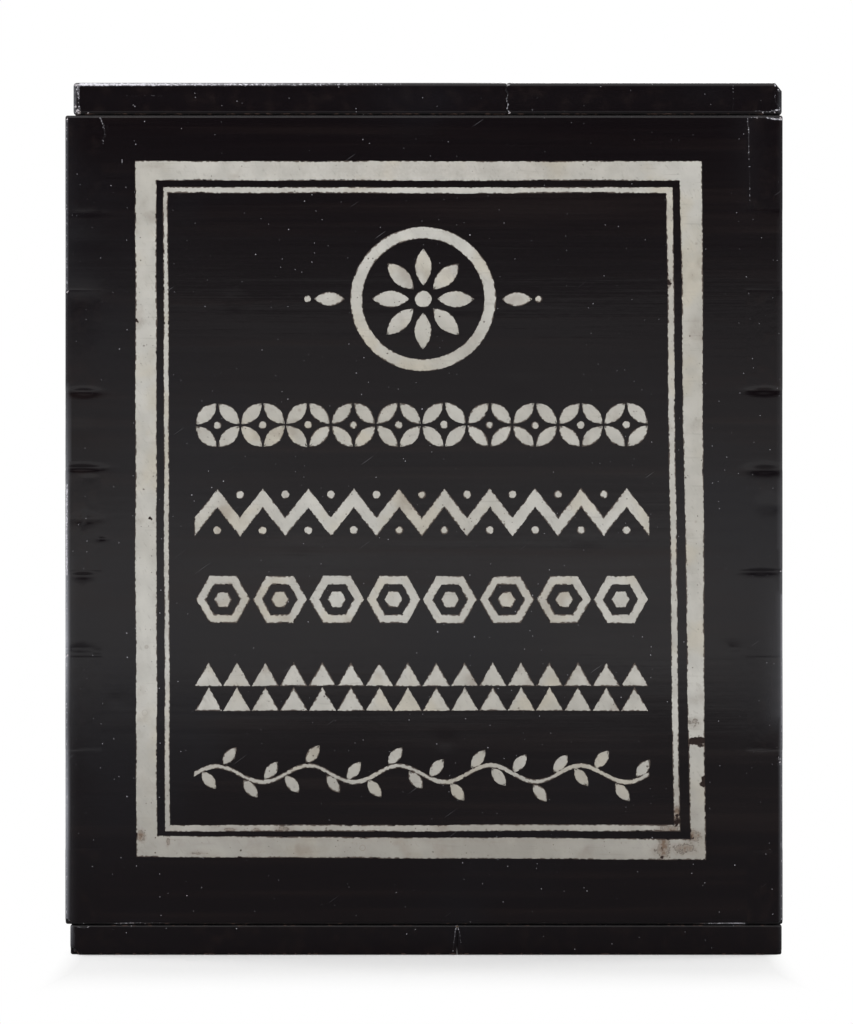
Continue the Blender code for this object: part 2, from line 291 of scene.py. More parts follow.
    def relief(self, *layers: tuple[Socket, float]) -> Socket:
        """The normal, bent by heights from 0 to 1.

        Args:
            layers: Each height, with what a height of 1 comes to in metres.

        Returns:
            The bent normal.
        """
        under = {}
        for height, distance in layers:
            node = self.add("Bump", {"Height": height, "Distance": distance, **under})
            under = {"Normal": node.outputs["Normal"]}
        return under["Normal"]

    def finish(
        self, colour: Socket, roughness: Socket, normal: Socket, metallic: Number = 0.0
    ) -> Material:
        """Link the shader.

        Args:
            colour: Base colour.
            roughness: Roughness.
            normal: Bent normal.
            metallic: Metallic share.

        Returns:
            The finished material.
        """
        inputs = self.nodes["Principled BSDF"].inputs
        values = {"Base Color": colour, "Roughness": roughness, "Normal": normal, "Metallic": metallic}
        for name, value in values.items():
            self.feed(inputs[name], value)
        return self.owner

    def ray(self, kind: str) -> Socket:
        """1 on rays of that kind, by the name of Blender's output."""
        return self.add("LightPath", {}).outputs[kind]

    def shading(self, kind: str, colour: Tint) -> Socket:
        """A plain shader of that kind and colour, by the name of Blender's node."""
        return self.add(kind, {"Color": colour}).outputs[0]

    def either(self, share: Socket, first: Socket, second: Socket) -> Socket:
        """The first shader where the share is 0 and the second where it is 1."""
        return self.add("MixShader", {0: share, 1: first, 2: second}).outputs[0]

    def show(self, shader: Socket) -> None:
        """Link a shader to the tree's output."""
        output = next(node for node in self.nodes if node.type in ("OUTPUT_MATERIAL", "OUTPUT_WORLD"))
        self.links.new(shader, output.inputs["Surface"])


@dataclass(frozen=True)
class BareWood:
    """Old sawn softwood: growth bands, fibres and grime."""

    pale: Colour = (0.31, 0.205, 0.125)
    dark: Colour = (0.175, 0.102, 0.058)
    grime: Colour = (0.075, 0.053, 0.038)
    roughness: float = 0.72

    def colour(self, graph: Graph, grain: Grain) -> Socket:
        """The wood's colour as nodes.

        Args:
            graph: The material to add them to.
            grain: The axis of the grain.

        Returns:
            The colour.
        """
        bands = graph.rise(graph.drawn(grain.stretch(2.2, 75.0), 3.0), 0.36, 0.64)
        fibres = graph.spread(graph.drawn(grain.stretch(40.0, 1500.0), 4.0), 0.72, 1.18)
        wood = graph.tinted(graph.blend(bands, self.pale, self.dark), fibres)
        dirt = graph.rise(graph.noise(14.0, 6.0), 0.40, 0.72, 0.0, 0.75)
        return graph.blend(dirt, wood, self.grime)

    def material(self, grain: Grain) -> Material:
        """The finish for a bare piece.

        Args:
            grain: The axis of the grain.

        Returns:
            The material.
        """
        graph = Graph.named(f"bare_wood_{grain.name.lower()}")
        fibres = graph.drawn(grain.stretch(25.0, 900.0), 4.0)
        saw_marks = graph.drawn(grain.stretch(420.0, 12.0), 2.0)
        rough = graph.spread(fibres, self.roughness - 0.1, self.roughness + 0.12)
        normal = graph.relief((fibres, 0.00018), (saw_marks, 0.00012))
        return graph.finish(self.colour(graph, grain), rough, normal)


@dataclass(frozen=True)
class Lacquer:
    """Old black lacquer over a pale ground on wood: grain that tells through, dust, rubs and chips.

    It reads five numbers from the mesh: wear, which bares the ground and then the wood, rub, which
    thins the lacquer to brown along an arris, a pale share that is partly worn scratches and partly
    highlights painted along the arrises, a grey share that is a soft highlight painted along the
    arrises, and grime, which takes its gloss beside the joints.
    """

    black: Colour = (0.0040, 0.0023, 0.0032)
    thin: Colour = (0.0080, 0.0046, 0.0048)
    haze: Colour = (0.0052, 0.0044, 0.0062)
    # Grey of the soft highlights painted along the arrises.
    painted_glow_grey: Colour = (0.40, 0.41, 0.45)
    rubbed: Colour = (0.085, 0.048, 0.038)
    # Pale grey of the scuffs, which also paints highlights along the arrises.
    scuff_and_highlight_pale: Colour = (0.56, 0.55, 0.60)
    ground: Colour = (0.56, 0.52, 0.55)
    gloss: float = 0.035
    wood: BareWood = BareWood()

    DUST = ((110.0, 0.042, 0.74), (215.0, 0.062, 0.72), (270.0, 0.060, 0.66))

    def material(self, name: str, grain: Grain) -> Material:
        """The finish for one board.

        Args:
            name: The material's name.
            grain: The axis of the board's grain.

        Returns:
            The material.
        """
        graph = Graph.named(name)
        streaks = graph.drawn(grain.stretch(3.5, 150.0), 5.0)
        clouds = graph.noise(9.0, 5.0)
        crumbs = graph.noise(900.0, 3.0)
        wear = graph.math("ADD", graph.attribute("wear"), graph.spread(crumbs, -0.22, 0.22))
        rub = graph.math("ADD", graph.attribute("rub"), graph.spread(graph.noise(330.0, 6.0), -0.4, 0.4))
        rubbed = graph.rise(rub, 0.50, 0.72)
        grounded = graph.rise(wear, 0.34, 0.40)
        # One pale share: dust, worn scuffs, and highlights painted along the arrises.
        dust_scuff_and_highlight = graph.math("MAXIMUM", self._dust(graph), self._scuffs_and_highlights(graph, crumbs))
        shade = graph.rise(graph.attribute("wear"), 0.90, 1.0, 0.45, 1.0)
        colour = graph.coats(
            self.black,
            (graph.rise(streaks, 0.45, 0.80), self.thin),
            (graph.rise(clouds, 0.50, 0.72, 0.0, 0.8), self.haze),
            (graph.attribute("painted_glow"), self.painted_glow_grey),
            (rubbed, self.rubbed),
            (dust_scuff_and_highlight, self.scuff_and_highlight_pale),
            (grounded, self.ground),
            (graph.rise(wear, 0.50, 0.56), graph.tinted(self.wood.colour(graph, grain), shade)),
        )
        rough = graph.levels(
            graph.rise(clouds, 0.35, 0.75, self.gloss, self.gloss + 0.06),
            (graph.rise(streaks, 0.5, 0.8), self.gloss + 0.07),
            (rubbed, 0.42),
            (dust_scuff_and_highlight, 0.6),
            (grounded, 0.8),
            (graph.attribute("grime"), 0.85),
        )
        normal = graph.relief(
            (streaks, 0.000016),
            (graph.drawn(grain.stretch(30.0, 1100.0), 3.0), 0.0000022),
            (graph.noise(260.0, 2.0), 0.000005),
            (graph.math("SUBTRACT", 1.0, grounded), 0.00016),
        )
        return graph.finish(colour, rough, normal)

    def _scuffs_and_highlights(self, graph: Graph, crumbs: Socket) -> Socket:
        """Pale scuffs and painted highlights: a soft bloom with a broken core.

        Args:
            graph: The material to add the nodes to.
            crumbs: Fine noise that breaks them up.

        Returns:
            The share of the pale colour.
        """
        scuff_and_highlight = graph.attribute("scuff_and_highlight")
        gravel = graph.spread(graph.noise(1700.0, 2.0), -0.30, 0.30)
        broken = graph.math("ADD", graph.math("ADD", scuff_and_highlight, gravel), graph.spread(crumbs, -0.24, 0.24))
        core = graph.math("MULTIPLY", graph.rise(broken, 0.48, 0.80), graph.rise(scuff_and_highlight, 0.10, 0.30))
        return graph.math("MAXIMUM", core, graph.rise(scuff_and_highlight, 0.22, 1.1, 0.0, 0.62))

    def _dust(self, graph: Graph) -> Socket:
        """Small specks in patches, and hairline scratches.

        Args:
            graph: The material to add the nodes to.

        Returns:
            The share of dust.
        """
        patches = graph.rise(graph.noise(16.0, 3.0), 0.42, 0.60, 0.22, 1.0)
        hairlines = graph.rise(graph.drawn((26.0, 26.0, 900.0), 2.0, 0.62), 0.755, 0.80, 0.0, 0.16)
        return graph.math("MAXIMUM", hairlines, graph.math("MULTIPLY", graph.specks(self.DUST, 0.6), patches))


@dataclass(frozen=True)
class SignPaint:
    """Matt grey-white paint, brushed by hand and aged, with brown rims, pits and losses.

    It reads three numbers from the mesh: rim, which is 1 at the film's edge, loss, where it flaked,
    and stain, where it is soiled brown.
    """

    white: Colour = (0.505, 0.492, 0.455)
    dull: Colour = (0.400, 0.380, 0.335)
    aged: Colour = (0.470, 0.425, 0.335)
    soot_and_darkening: Colour = (0.255, 0.235, 0.205)
    stain: Colour = (0.165, 0.112, 0.078)
    rim: Colour = (0.050, 0.029, 0.020)
    bare: Colour = (0.0170, 0.0085, 0.0070)
    # Heights between which the paint grows darker towards the bottom.
    darkening_top: float = 0.150
    darkening_bottom: float = 0.035

    PITS = ((170.0, 0.095, 0.42), (330.0, 0.120, 0.34))

    def material(self) -> Material:
        """The finish for every painted film."""
        graph = Graph.named("sign_paint")
        mottle = graph.noise(95.0, 5.0)
        brush = graph.drawn((420.0, 600.0, 120.0), 4.0, 0.35)
        crumbs = graph.noise(620.0, 4.0)
        worn = graph.rise(graph.noise(22.0, 3.0), 0.40, 0.60, -0.18, 0.20)
        torn = graph.math("ADD", 1.0, graph.spread(crumbs, -0.45, 0.45))
        soiled = graph.math("MULTIPLY", graph.attribute("stain"), torn)
        outline = graph.math("ABSOLUTE", graph.math("SUBTRACT", soiled, 0.36))
        edge = graph.attribute("rim")
        rim = graph.math("ADD", graph.math("ADD", edge, worn), graph.spread(crumbs, -0.45, 0.35))
        loss = graph.math("ADD", graph.attribute("loss"), graph.spread(graph.noise(380.0, 4.0), -0.3, 0.3))
        browned = graph.math("MAXIMUM", graph.rise(rim, 0.50, 0.74, 0.0, 0.92), graph.rise(loss, 0.34, 0.44))
        browned = graph.math("MAXIMUM", browned, self._pits(graph))
        torn_edge = graph.math("ADD", graph.noise(260.0, 3.0), graph.math("MULTIPLY", worn, 0.3))
        nicks = graph.math("MULTIPLY", graph.rise(torn_edge, 0.62, 0.67), graph.rise(edge, 0.30, 0.50))
        flaked = graph.math("MAXIMUM", graph.rise(loss, 0.46, 0.54), nicks)
        colour = graph.coats(
            self.white,
            (graph.rise(graph.noise(13.0, 5.0), 0.35, 0.7, 0.0, 0.75), self.dull),
            (graph.rise(graph.noise(34.0, 6.0), 0.52, 0.66, 0.0, 0.5), self.aged),
            (graph.rise(graph.drawn((45.0, 45.0, 700.0), 3.0), 0.60, 0.74, 0.0, 0.30), self.soot_and_darkening),
            # Darker towards the bottom of the front.
            (graph.rise(graph.part("Z"), self.darkening_bottom, self.darkening_top, 0.62, 0.0), self.soot_and_darkening),
        )
        colour = graph.tinted(colour, graph.spread(mottle, 0.93, 1.06))
        colour = graph.tinted(colour, graph.spread(brush, 0.985, 1.012))
        colour = graph.coats(
            colour,
            (graph.rise(graph.drawn((900.0, 900.0, 260.0), 3.0, 0.55), 0.60, 0.72, 0.0, 0.30), self.soot_and_darkening),
            (graph.math("MAXIMUM", self._smudges(graph), soiled), self.stain),
            (graph.rise(outline, 0.0, 0.09, 0.65, 0.0), self.rim),
            (browned, self.rim),
            (flaked, self.bare),
        )
        rough = graph.mean(flaked, graph.spread(mottle, 0.52, 0.66), 0.2)
        normal = graph.relief(
            (mottle, 0.00004),
            (brush, 0.00002),
            (graph.math("SUBTRACT", 1.0, browned), 0.00006),
            (graph.math("SUBTRACT", 1.0, flaked), 0.00020),
        )
        return graph.finish(colour, rough, normal)

    def _smudges(self, graph: Graph) -> Socket:
        """Brown smudges and small ring marks.

        Args:
            graph: The material to add the nodes to.

        Returns:
            The share of the stain's colour.
        """
        clouds = graph.rise(graph.noise(60.0, 8.0), 0.54, 0.76, 0.0, 0.40)
        distance, lot = graph.cells(60.0)
        ring = graph.math("ABSOLUTE", graph.math("SUBTRACT", distance, 0.10))
        rings = graph.math("MULTIPLY", graph.rise(ring, 0.0, 0.022, 0.34, 0.0), graph.rise(lot, 0.72, 0.74))
        return graph.math("MAXIMUM", clouds, rings)

    def _pits(self, graph: Graph) -> Socket:
        """Tiny cavities through to the brown under the paint, in patches."""
        patches = graph.rise(graph.noise(24.0, 3.0), 0.38, 0.62, 0.35, 1.0)
        uneven = graph.spread(graph.noise(700.0, 2.0), -0.04, 0.04)
        return graph.math("MULTIPLY", graph.specks(self.PITS, 0.5, uneven), patches)


@dataclass(frozen=True)
class LiningMetal:
    """Soft grey sheet metal, dull with a pale bloom."""

    bright: Colour = (0.52, 0.52, 0.53)
    bloom: Colour = (0.42, 0.42, 0.415)
    rust: Colour = (0.105, 0.062, 0.036)

    def material(self) -> Material:
        """The finish for the liner and the lid's lining."""
        graph = Graph.named("lining_metal")
        drift = graph.noise(90.0, 6.0)
        bloomed = graph.rise(graph.noise(6.0, 6.0), 0.32, 0.70)
        rusty = graph.rise(graph.noise(30.0, 8.0), 0.68, 0.76, 0.0, 0.8)
        colour = graph.tinted(graph.blend(bloomed, self.bright, self.bloom), graph.spread(drift, 0.88, 1.08))
        colour = graph.blend(rusty, colour, self.rust)
        rough = graph.mean(bloomed, graph.spread(drift, 0.42, 0.50), 0.58)
        metallic = graph.mean(rusty, graph.mean(bloomed, 0.92, 0.80), 0.1)
        normal = graph.relief((graph.drawn((22.0, 22.0, 70.0), 3.0, 0.4), 0.0007), (drift, 0.00010))
        return graph.finish(colour, rough, normal, metallic)


@dataclass(frozen=True)
class Iron:
    """Cut nails, dark and rusty."""

    scale: Colour = (0.052, 0.044, 0.041)
    rust: Colour = (0.150, 0.062, 0.028)

    def material(self) -> Material:
        """The finish for the nails."""
        graph = Graph.named("nail_iron")
        rusty = graph.rise(graph.noise(420.0, 6.0), 0.42, 0.62)
        colour = graph.blend(rusty, self.scale, self.rust)
        normal = graph.relief((graph.noise(1500.0, 4.0), 0.00018))
        return graph.finish(colour, graph.mean(rusty, 0.45, 0.85), normal, graph.mean(rusty, 0.85, 0.05))


@dataclass(frozen=True)
class Spot:
    """A soft oval on a side of the chest: a hollow by its depth, or lost paint by its share."""

    across: float
    up: float
    half_width: float
    half_height: float
    strength: float

    END = 9

    @classmethod
    def seen_at(cls, pixel: Point, size: Point, strength: float) -> "Spot":
        """A spot by its middle and its half width and half height, in pixels of the photograph."""
        return cls(*Photo.point(pixel), *map(Photo.length, size), strength)

    def at(self, across: float, up: float) -> float:
        """Its strength at a place on the side."""
        reach = ((across - self.across) / self.half_width) ** 2 + ((up - self.up) / self.half_height) ** 2
        return self.strength * math.exp(-reach) if reach < self.END else 0.0


@dataclass(frozen=True)
class Chip:
    """A place where lacquer, and perhaps wood, has broken away."""

    place: Vector
    radius: float
    depth: float
    wear: float

    SOLID = 0.35

    @classmethod
    def seen_at(cls, pixel: Point, radius: float, depth: float, wear: float, front: float) -> "Chip":
        """A chip by its middle and radius in pixels of the photograph, on the front at that Y."""
        across, up = Photo.point(pixel)
        return cls(Vector((across, front, up)), Photo.length(radius), depth, wear)

    def at(self, point: Vector) -> float:
        """A share from 0, outside, to 1 at the middle."""
        away = (point - self.place).length / self.radius
        return 1.0 - smooth_step(self.SOLID, 1.0, away) if away < 1 else 0.0


@dataclass(frozen=True)
class Scratch:
    """A pale line on the lacquer, from point to point. Some are worn scratches; others are highlights
    painted along arrises, and the soft ones are painted glows.
    """

    path: tuple[Vector, ...]
    radius: float
    strengths: Point
    soft: bool = False

    @classmethod
    def seen_at(
        cls, pixels: tuple[Point, ...], radius: float, strengths: Point, front: float, soft: bool = False
    ) -> "Scratch":
        """A scratch by its place in the photograph.

        Args:
            pixels: Its points, in pixels.
            radius: Half its width, in pixels.
            strengths: Its strength at its start and at its end.
            front: The Y of the front that it is on.
            soft: Whether it fades out softly from its middle.

        Returns:
            The scratch.
        """
        places = [Photo.point(pixel) for pixel in pixels]
        path = tuple(Vector((across, front, up)) for across, up in places)
        return cls(path, Photo.length(radius), strengths, soft)

    def at(self, point: Vector) -> float:
        """Its strength at a point."""
        found = 0.0
        first, last = self.strengths
        for place, (start, end) in enumerate(pairwise(self.path)):
            along = end - start
            share = min(1.0, max(0.0, (point - start).dot(along) / along.length_squared))
            away = (point - start - along * share).length / self.radius
            if away < 1:
                strength = first + (last - first) * (place + share) / (len(self.path) - 1)
                found = max(found, strength * ((1 - away) ** 3 if self.soft else 1 - away * away))
        return found

    def anchors(self) -> list[tuple[Vector, float]]:
        """Points along it, a millimetre apart, with its radius."""
        found = []
        for start, end in pairwise(self.path):
            steps = max(1, round((end - start).length / 0.001))
            found += [(start.lerp(end, step / steps), self.radius) for step in range(steps + 1)]
        return found


class Face(Enum):
    """A side of a box, by the way that it faces."""

    FRONT = (0, -1, 0)
    BACK = (0, 1, 0)
    LEFT = (-1, 0, 0)
    RIGHT = (1, 0, 0)
    TOP = (0, 0, 1)
    UNDER = (0, 0, -1)

    @property
    def normal(self) -> Vector:
        """Unit vector that points out of the box."""
        return Vector(self.value)

    @property
    def seed(self) -> float:
        """A number that tells this face's noise from the others'."""
        return self.normal.dot(Vector((3.1, 7.7, 12.9)))

    def spot(self, point: Vector) -> Point:
        """Where the point lies on the face: across it and up it, in metres."""
        if self.value[0]:
            return point.y, point.z
        return point.x, point.y if self.value[2] else point.z

    def gap(self, point: Vector, low: Vector, high: Vector) -> float:
        """How far the point lies inside this face of a box."""
        return (self.corner(low, high) - point).dot(self.normal)

    def corner(self, low: Vector, high: Vector) -> Vector:
        """The box's lowest or highest corner, whichever lies on this face."""
        return high if sum(self.value) > 0 else low


SIDES = (Face.FRONT, Face.BACK, Face.LEFT, Face.RIGHT)
Gaps = list[tuple[float, Face]]
Rubs = dict[frozenset[Face], float]


def front_rubs(top: float, under: float, side: float = 0.20) -> Rubs:
    """How far the lacquer is thinned along each of the front's arrises."""
    strengths = {Face.TOP: top, Face.UNDER: under, Face.LEFT: side, Face.RIGHT: side}
    return {frozenset((Face.FRONT, face)): strength for face, strength in strengths.items()}


@dataclass(frozen=True)
class Marks:
    """What the photograph shows on a front, in its pixels.

    A chip has its middle, radius, depth in metres and wear. A scratch, or a soft highlight painted
    along an arris, has its points, its radius, and its strength at its start and at its end. Some of
    the scratches are highlights painted along arrises too.
    """

    chips: tuple[tuple[Point, float, float, float], ...]
    scratches: tuple[tuple[tuple[Point, ...], float, Point], ...]
    painted_glows: tuple[tuple[tuple[Point, ...], float, Point], ...]


def tree_of(places: list[Vector]) -> KDTree:
    """A search tree over points, with their order as their numbers."""
    tree = KDTree(len(places))
    for number, place in enumerate(places):
        tree.insert(place, number)
    tree.balance()
    return tree


@dataclass
class Skin:
    """The fine shape of a boxy sub-assembly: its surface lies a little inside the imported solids."""

    low: Vector
    high: Vector
    lacquered: tuple[Face, ...]
    chips: list[Chip] = field(default_factory=list)
    scratches: list[Scratch] = field(default_factory=list)
    painted_glows: list[Scratch] = field(default_factory=list)
    joints: tuple[Face, ...] = ()
    dents: dict[Face, list[Spot]] = field(default_factory=dict)
    rubs: Rubs = field(default_factory=dict)
    inset: float = 0.00018
    warp: float = 0.00005
    reach: float = 0.006
    overlap: Point = (0.0010, 0.0030)
    rub_width: float = 0.0014
    plain_rub: float = 0.42
    coarse: float = 0.0052
    fine: float = 0.00042

    CHIP_REACH = 0.007
    SCRATCH_REACH = 0.006
    PAINTED_GLOW_REACH = 0.005
    LONG_WAVE = 0.130
    SHORT_WAVE = 0.048
    SHORT_SHARE = 0.45
    WEAR_SPREAD = 1.6
    RUB_CORE = 0.0004
    GRIME = (0.0007, 0.0014)
    BESIDE_LINE = (0.00062, 0.36)
    BESIDE_ARRIS = (0.0009, 0.66)
    BESIDE_MARK = (0.35, 0.45)

    def mark(self, marks: Marks) -> None:
        """Lay the photograph's marks on the front.

        Args:
            marks: The marks.
        """
        front = self.low.y
        self.chips += [Chip.seen_at(*chip, front) for chip in marks.chips]
        self.scratches += [Scratch.seen_at(*scratch, front) for scratch in marks.scratches]
        self.painted_glows += [Scratch.seen_at(*painted_glow, front, soft=True) for painted_glow in marks.painted_glows]

    @cached_property
    def chip_tree(self) -> KDTree:
        """The chips by their places. Nothing is added to them once it is made."""
        return tree_of([chip.place for chip in self.chips])

    @cached_property
    def anchors(self) -> list[tuple[Vector, float]]:
        """Points that need a fine mesh, each with its radius."""
        points = [(chip.place, chip.radius) for chip in self.chips]
        for scratch in self.scratches:
            points += scratch.anchors()
        return points

    @cached_property
    def anchor_tree(self) -> KDTree:
        """The anchors by their places."""
        return tree_of([place for place, _ in self.anchors])

    def gaps(self, point: Vector) -> Gaps:
        """The point's distance inside each face of the box, the nearest first."""
        x, y, z = point
        low, high = self.low, self.high
        depths = (y - low.y, high.y - y, x - low.x, high.x - x, high.z - z, z - low.z)
        return sorted(zip(depths, Face), key=itemgetter(0))

    def line_depth(self, face: Face, across: float, up: float) -> float:
        """Joints that tell through the lacquer on this face. A plain skin has none."""
        return 0.0

    def line_distance(self, face: Face, point: Vector) -> float:
        """How far a point on this face lies from the nearest such joint."""
        return math.inf

    def depth(self, face: Face, point: Vector) -> float:
        """How far the surface lies inside this face.

        Args:
            face: The face.
            point: A point on it.

        Returns:
            The depth in metres, never less than nothing.
        """
        across, up = face.spot(point)
        flat = Vector((across, up, 0))
        waves = ripple(flat, self.LONG_WAVE, face.seed)
        waves += self.SHORT_SHARE * ripple(flat, self.SHORT_WAVE, face.seed + 5)
        depth = self.inset + self.warp * waves + self.line_depth(face, across, up)
        depth += sum(dent.at(across, up) for dent in self.dents.get(face, ()))
        return max(0.0, depth)

    def broken(self, point: Vector) -> tuple[float, float]:
        """The chips at a point.

        Args:
            point: The point.

        Returns:
            The depth that has broken away there, and the wear.
        """
        depth = wear = 0.0
        for _, number, _ in self.chip_tree.find_range(point, self.CHIP_REACH):
            chip = self.chips[number]
            share = chip.at(point)
            depth = max(depth, chip.depth * share)
            wear = max(wear, chip.wear * min(1.0, self.WEAR_SPREAD * share))
        return depth, wear

    def scuff_and_highlight_at(self, point: Vector) -> float:
        """How pale the lacquer is at a point, from worn scratches and from highlights painted along arrises.
        """
        if self.anchor_tree.find(point)[2] > self.SCRATCH_REACH:
            return 0.0
        return max((scratch.at(point) for scratch in self.scratches), default=0.0)

    def painted_glow_at(self, point: Vector) -> float:
        """How strong the soft highlight painted along the arrises is at a point. Only the front has it."""
        if point.y - self.low.y > self.PAINTED_GLOW_REACH:
            return 0.0
        return max((painted_glow.at(point) for painted_glow in self.painted_glows), default=0.0)

    def griming(self, point: Vector) -> float:
        """How dirty the arris beside a joint with the next piece is."""
        nearest = min((face.gap(point, self.low, self.high) for face in self.joints), default=1.0)
        return 1.0 - smooth_step(*self.GRIME, nearest)

    def moved(self, point: Vector, gaps: Gaps, broken: float) -> Vector:
        """Where a point of the plain box goes.

        Args:
            point: The point on the plain box.
            gaps: Its distances inside the faces.
            broken: The depth that has broken away there.

        Returns:
            Its place on the fine surface.
        """
        shift = Vector()
        inward = Vector()
        for gap, face in gaps:
            if gap > self.reach:
                break
            share = 1 - smooth_step(0, self.reach, gap)
            inward -= face.normal * share
            if face in self.lacquered:
                shift -= face.normal * self.depth(face, point) * share
        if broken:
            shift += inward.normalized() * broken
        return point + shift

    def bareness(self, gaps: Gaps) -> float:
        """1 where no lacquer was brushed, and 0 on the lacquered faces."""
        nearest = next(gap for gap, face in gaps if face in self.lacquered)
        return smooth_step(*self.overlap, nearest)

    def rubbing(self, gaps: Gaps) -> float:
        """How far the lacquer is thinned, most on the arrises."""
        (_, first), (gap, second) = gaps[:2]
        strength = self.rubs.get(frozenset((first, second)), self.plain_rub)
        return strength * (1 - smooth_step(self.RUB_CORE, self.rub_width, gap))

    def wanted(self, point: Vector) -> float:
        """The longest edge that the mesh may have at a point.

        Args:
            point: The point.

        Returns:
            The length in metres: short beside joints, arrises and marks.
        """
        (gap, face), (second, _) = self.gaps(point)[:2]
        if gap > self.reach:
            return 1.0
        start, slope = self.BESIDE_LINE
        length = min(self.coarse, start + slope * self.line_distance(face, point) + gap)
        start, slope = self.BESIDE_ARRIS
        length = min(length, start + slope * second + gap)
        _, number, distance = self.anchor_tree.find(point)
        radius = self.anchors[number][1]
        start, slope = self.BESIDE_MARK
        length = min(length, start * radius + slope * max(0.0, distance - radius))
        return max(length, self.fine)


@dataclass
class WallSkin(Skin):
    """The skin of the four walls, where the finger joints tell through the lacquer."""

    levels: tuple[float, ...] = ()
    thickness: float = 0.020
    groove: float = 0.00012
    groove_half: float = 0.00050
    step: float = 0.00008
    front_left: float = 0.12
    front_right: float = 0.08
    nail_cover: float = 0.00025

    CORNER_MARGIN = 0.002
    RIGHT_SEED = 19.0
    TELLING_WAVE = 0.022
    TELLING_RISE = (-0.35, 0.45)
    TELLING_LEAST = 0.35
    UPRIGHT_SHARE = 0.8
    STEP_INWARD = (-0.0004, 0.0006)
    STEP_UPWARD = (0.0, 0.0008)
    STEP_TURN = 5.1
    STEP_ROUGH = 0.4
    STEP_WAVE = 0.006

    def is_end_grain(self, face: Face, zone: int) -> bool:
        """Whether this zone of the corner is end grain, seen on this face. Zone 0 is the lowest."""
        return (zone % 2 == 0) == (face in (Face.FRONT, Face.BACK))

    def zone(self, up: float) -> int:
        """Which finger of the corner a height falls in."""
        return sum(up > level for level in self.levels)

    def seam(self, face: Face) -> float:
        """How far the corner's upright seams lie from the face's middle."""
        half = self.high.x if face in (Face.FRONT, Face.BACK) else self.high.y
        return half - self.thickness

    def line_depth(self, face: Face, across: float, up: float) -> float:
        """Grooves along the finger joints, and small steps between the fingers.

        Args:
            face: The face.
            across: Place across it.
            up: Height.

        Returns:
            The depth in metres.
        """
        inside = abs(across) - self.seam(face)
        if face not in SIDES or inside < -self.CORNER_MARGIN:
            return 0.0
        zone = self.zone(up)
        corner = face.seed + (self.RIGHT_SEED if across > 0 else 0.0)
        place = Vector((across, up, corner))
        strength = smooth_step(*self.TELLING_RISE, ripple(place, self.TELLING_WAVE, corner))
        nearest = min(abs(up - level) for level in self.levels)
        groove = math.exp(-((nearest / self.groove_half) ** 2)) if inside > 0 else 0.0
        level = 0.0
        if self.is_end_grain(face, zone):
            groove = max(groove, self.UPRIGHT_SHARE * math.exp(-((inside / self.groove_half) ** 2)))
            share = smooth_step(*self.STEP_INWARD, inside) * smooth_step(*self.STEP_UPWARD, nearest)
            level = self.step * share * (1.0 + math.sin(self.STEP_TURN * zone + corner))
            level += self.STEP_ROUGH * self.step * share * ripple(place, self.STEP_WAVE, corner)
        telling = 1.0
        if face is Face.FRONT:
            telling = self.front_right if across > 0 else self.front_left
        return telling * (self.groove * groove * (self.TELLING_LEAST + strength) + level)

    def line_distance(self, face: Face, point: Vector) -> float:
        """How far a point on this face lies from the nearest finger joint."""
        if face not in SIDES:
            return math.inf
        across, up = face.spot(point)
        inside = abs(across) - self.seam(face)
        level = min(abs(up - level) for level in self.levels)
        distance = math.hypot(level, min(0.0, inside))
        if self.is_end_grain(face, self.zone(up)):
            distance = min(distance, abs(inside))
        return distance

    def depth(self, face: Face, point: Vector) -> float:
        """As for any skin, but the lacquer still covers the nail heads in the side boards."""
        depth = super().depth(face, point)
        covers_nails = face in (Face.LEFT, Face.RIGHT) and abs(point.y) > self.seam(face)
        return min(depth, self.nail_cover) if covers_nails else depth


@dataclass
class SlabSkin(Skin):
    """The skin of the lid or the bottom, with a joint between its two planks."""

    joint_x: float = 0.0
    groove: float = 0.00028
    groove_half: float = 0.0009

    FILLED = (0.0008, 0.0018)
    BEHIND = (0.002, 0.006)

    def line_depth(self, face: Face, across: float, up: float) -> float:
        """A groove along the plank joint, on the faces that it crosses."""
        if face in (Face.LEFT, Face.RIGHT):
            return 0.0
        return self.groove * math.exp(-(((across - self.joint_x) / self.groove_half) ** 2))

    def line_distance(self, face: Face, point: Vector) -> float:
        """How far a point lies from the plank joint."""
        return abs(point.x - self.joint_x)

    def griming(self, point: Vector) -> float:
        """How dirty a point is. Behind the front, dirt fills the plank joint too."""
        filled = 1.0 - smooth_step(*self.FILLED, abs(point.x - self.joint_x))
        behind = smooth_step(*self.BEHIND, point.y - self.low.y)
        return max(super().griming(point), filled * behind)


def plain_box(size: Vector, middle: Vector) -> Mesh:
    """A new mesh with a plain box in it.

    Args:
        size: Its size.
        middle: Its middle.

    Returns:
        The mesh.
    """
    bm = bmesh.new()
    bmesh.ops.create_cube(bm, size=1)
    bmesh.ops.scale(bm, vec=size, verts=bm.verts)
    bmesh.ops.translate(bm, vec=middle, verts=bm.verts)
    return bm


def slice_at(bm: Mesh, place: Vector, normal: Vector, within: float = 1e-6, clear: bool = False) -> None:
    """Cut a mesh along a plane, and clear what lies beyond it if asked to."""
    geometry = [*bm.verts, *bm.edges, *bm.faces]
    bmesh.ops.bisect_plane(bm, geom=geometry, dist=within, plane_co=place, plane_no=normal, clear_outer=clear)


def round_edges(bm: Mesh, edges: list[bmesh.types.BMEdge], width: float, segments: int) -> None:
    """Round edges off."""
    shape = {"offset_type": "OFFSET", "profile": 0.5, "affect": "EDGES", "material": -1}
    bmesh.ops.bevel(bm, geom=edges, offset=width, segments=segments, **shape)


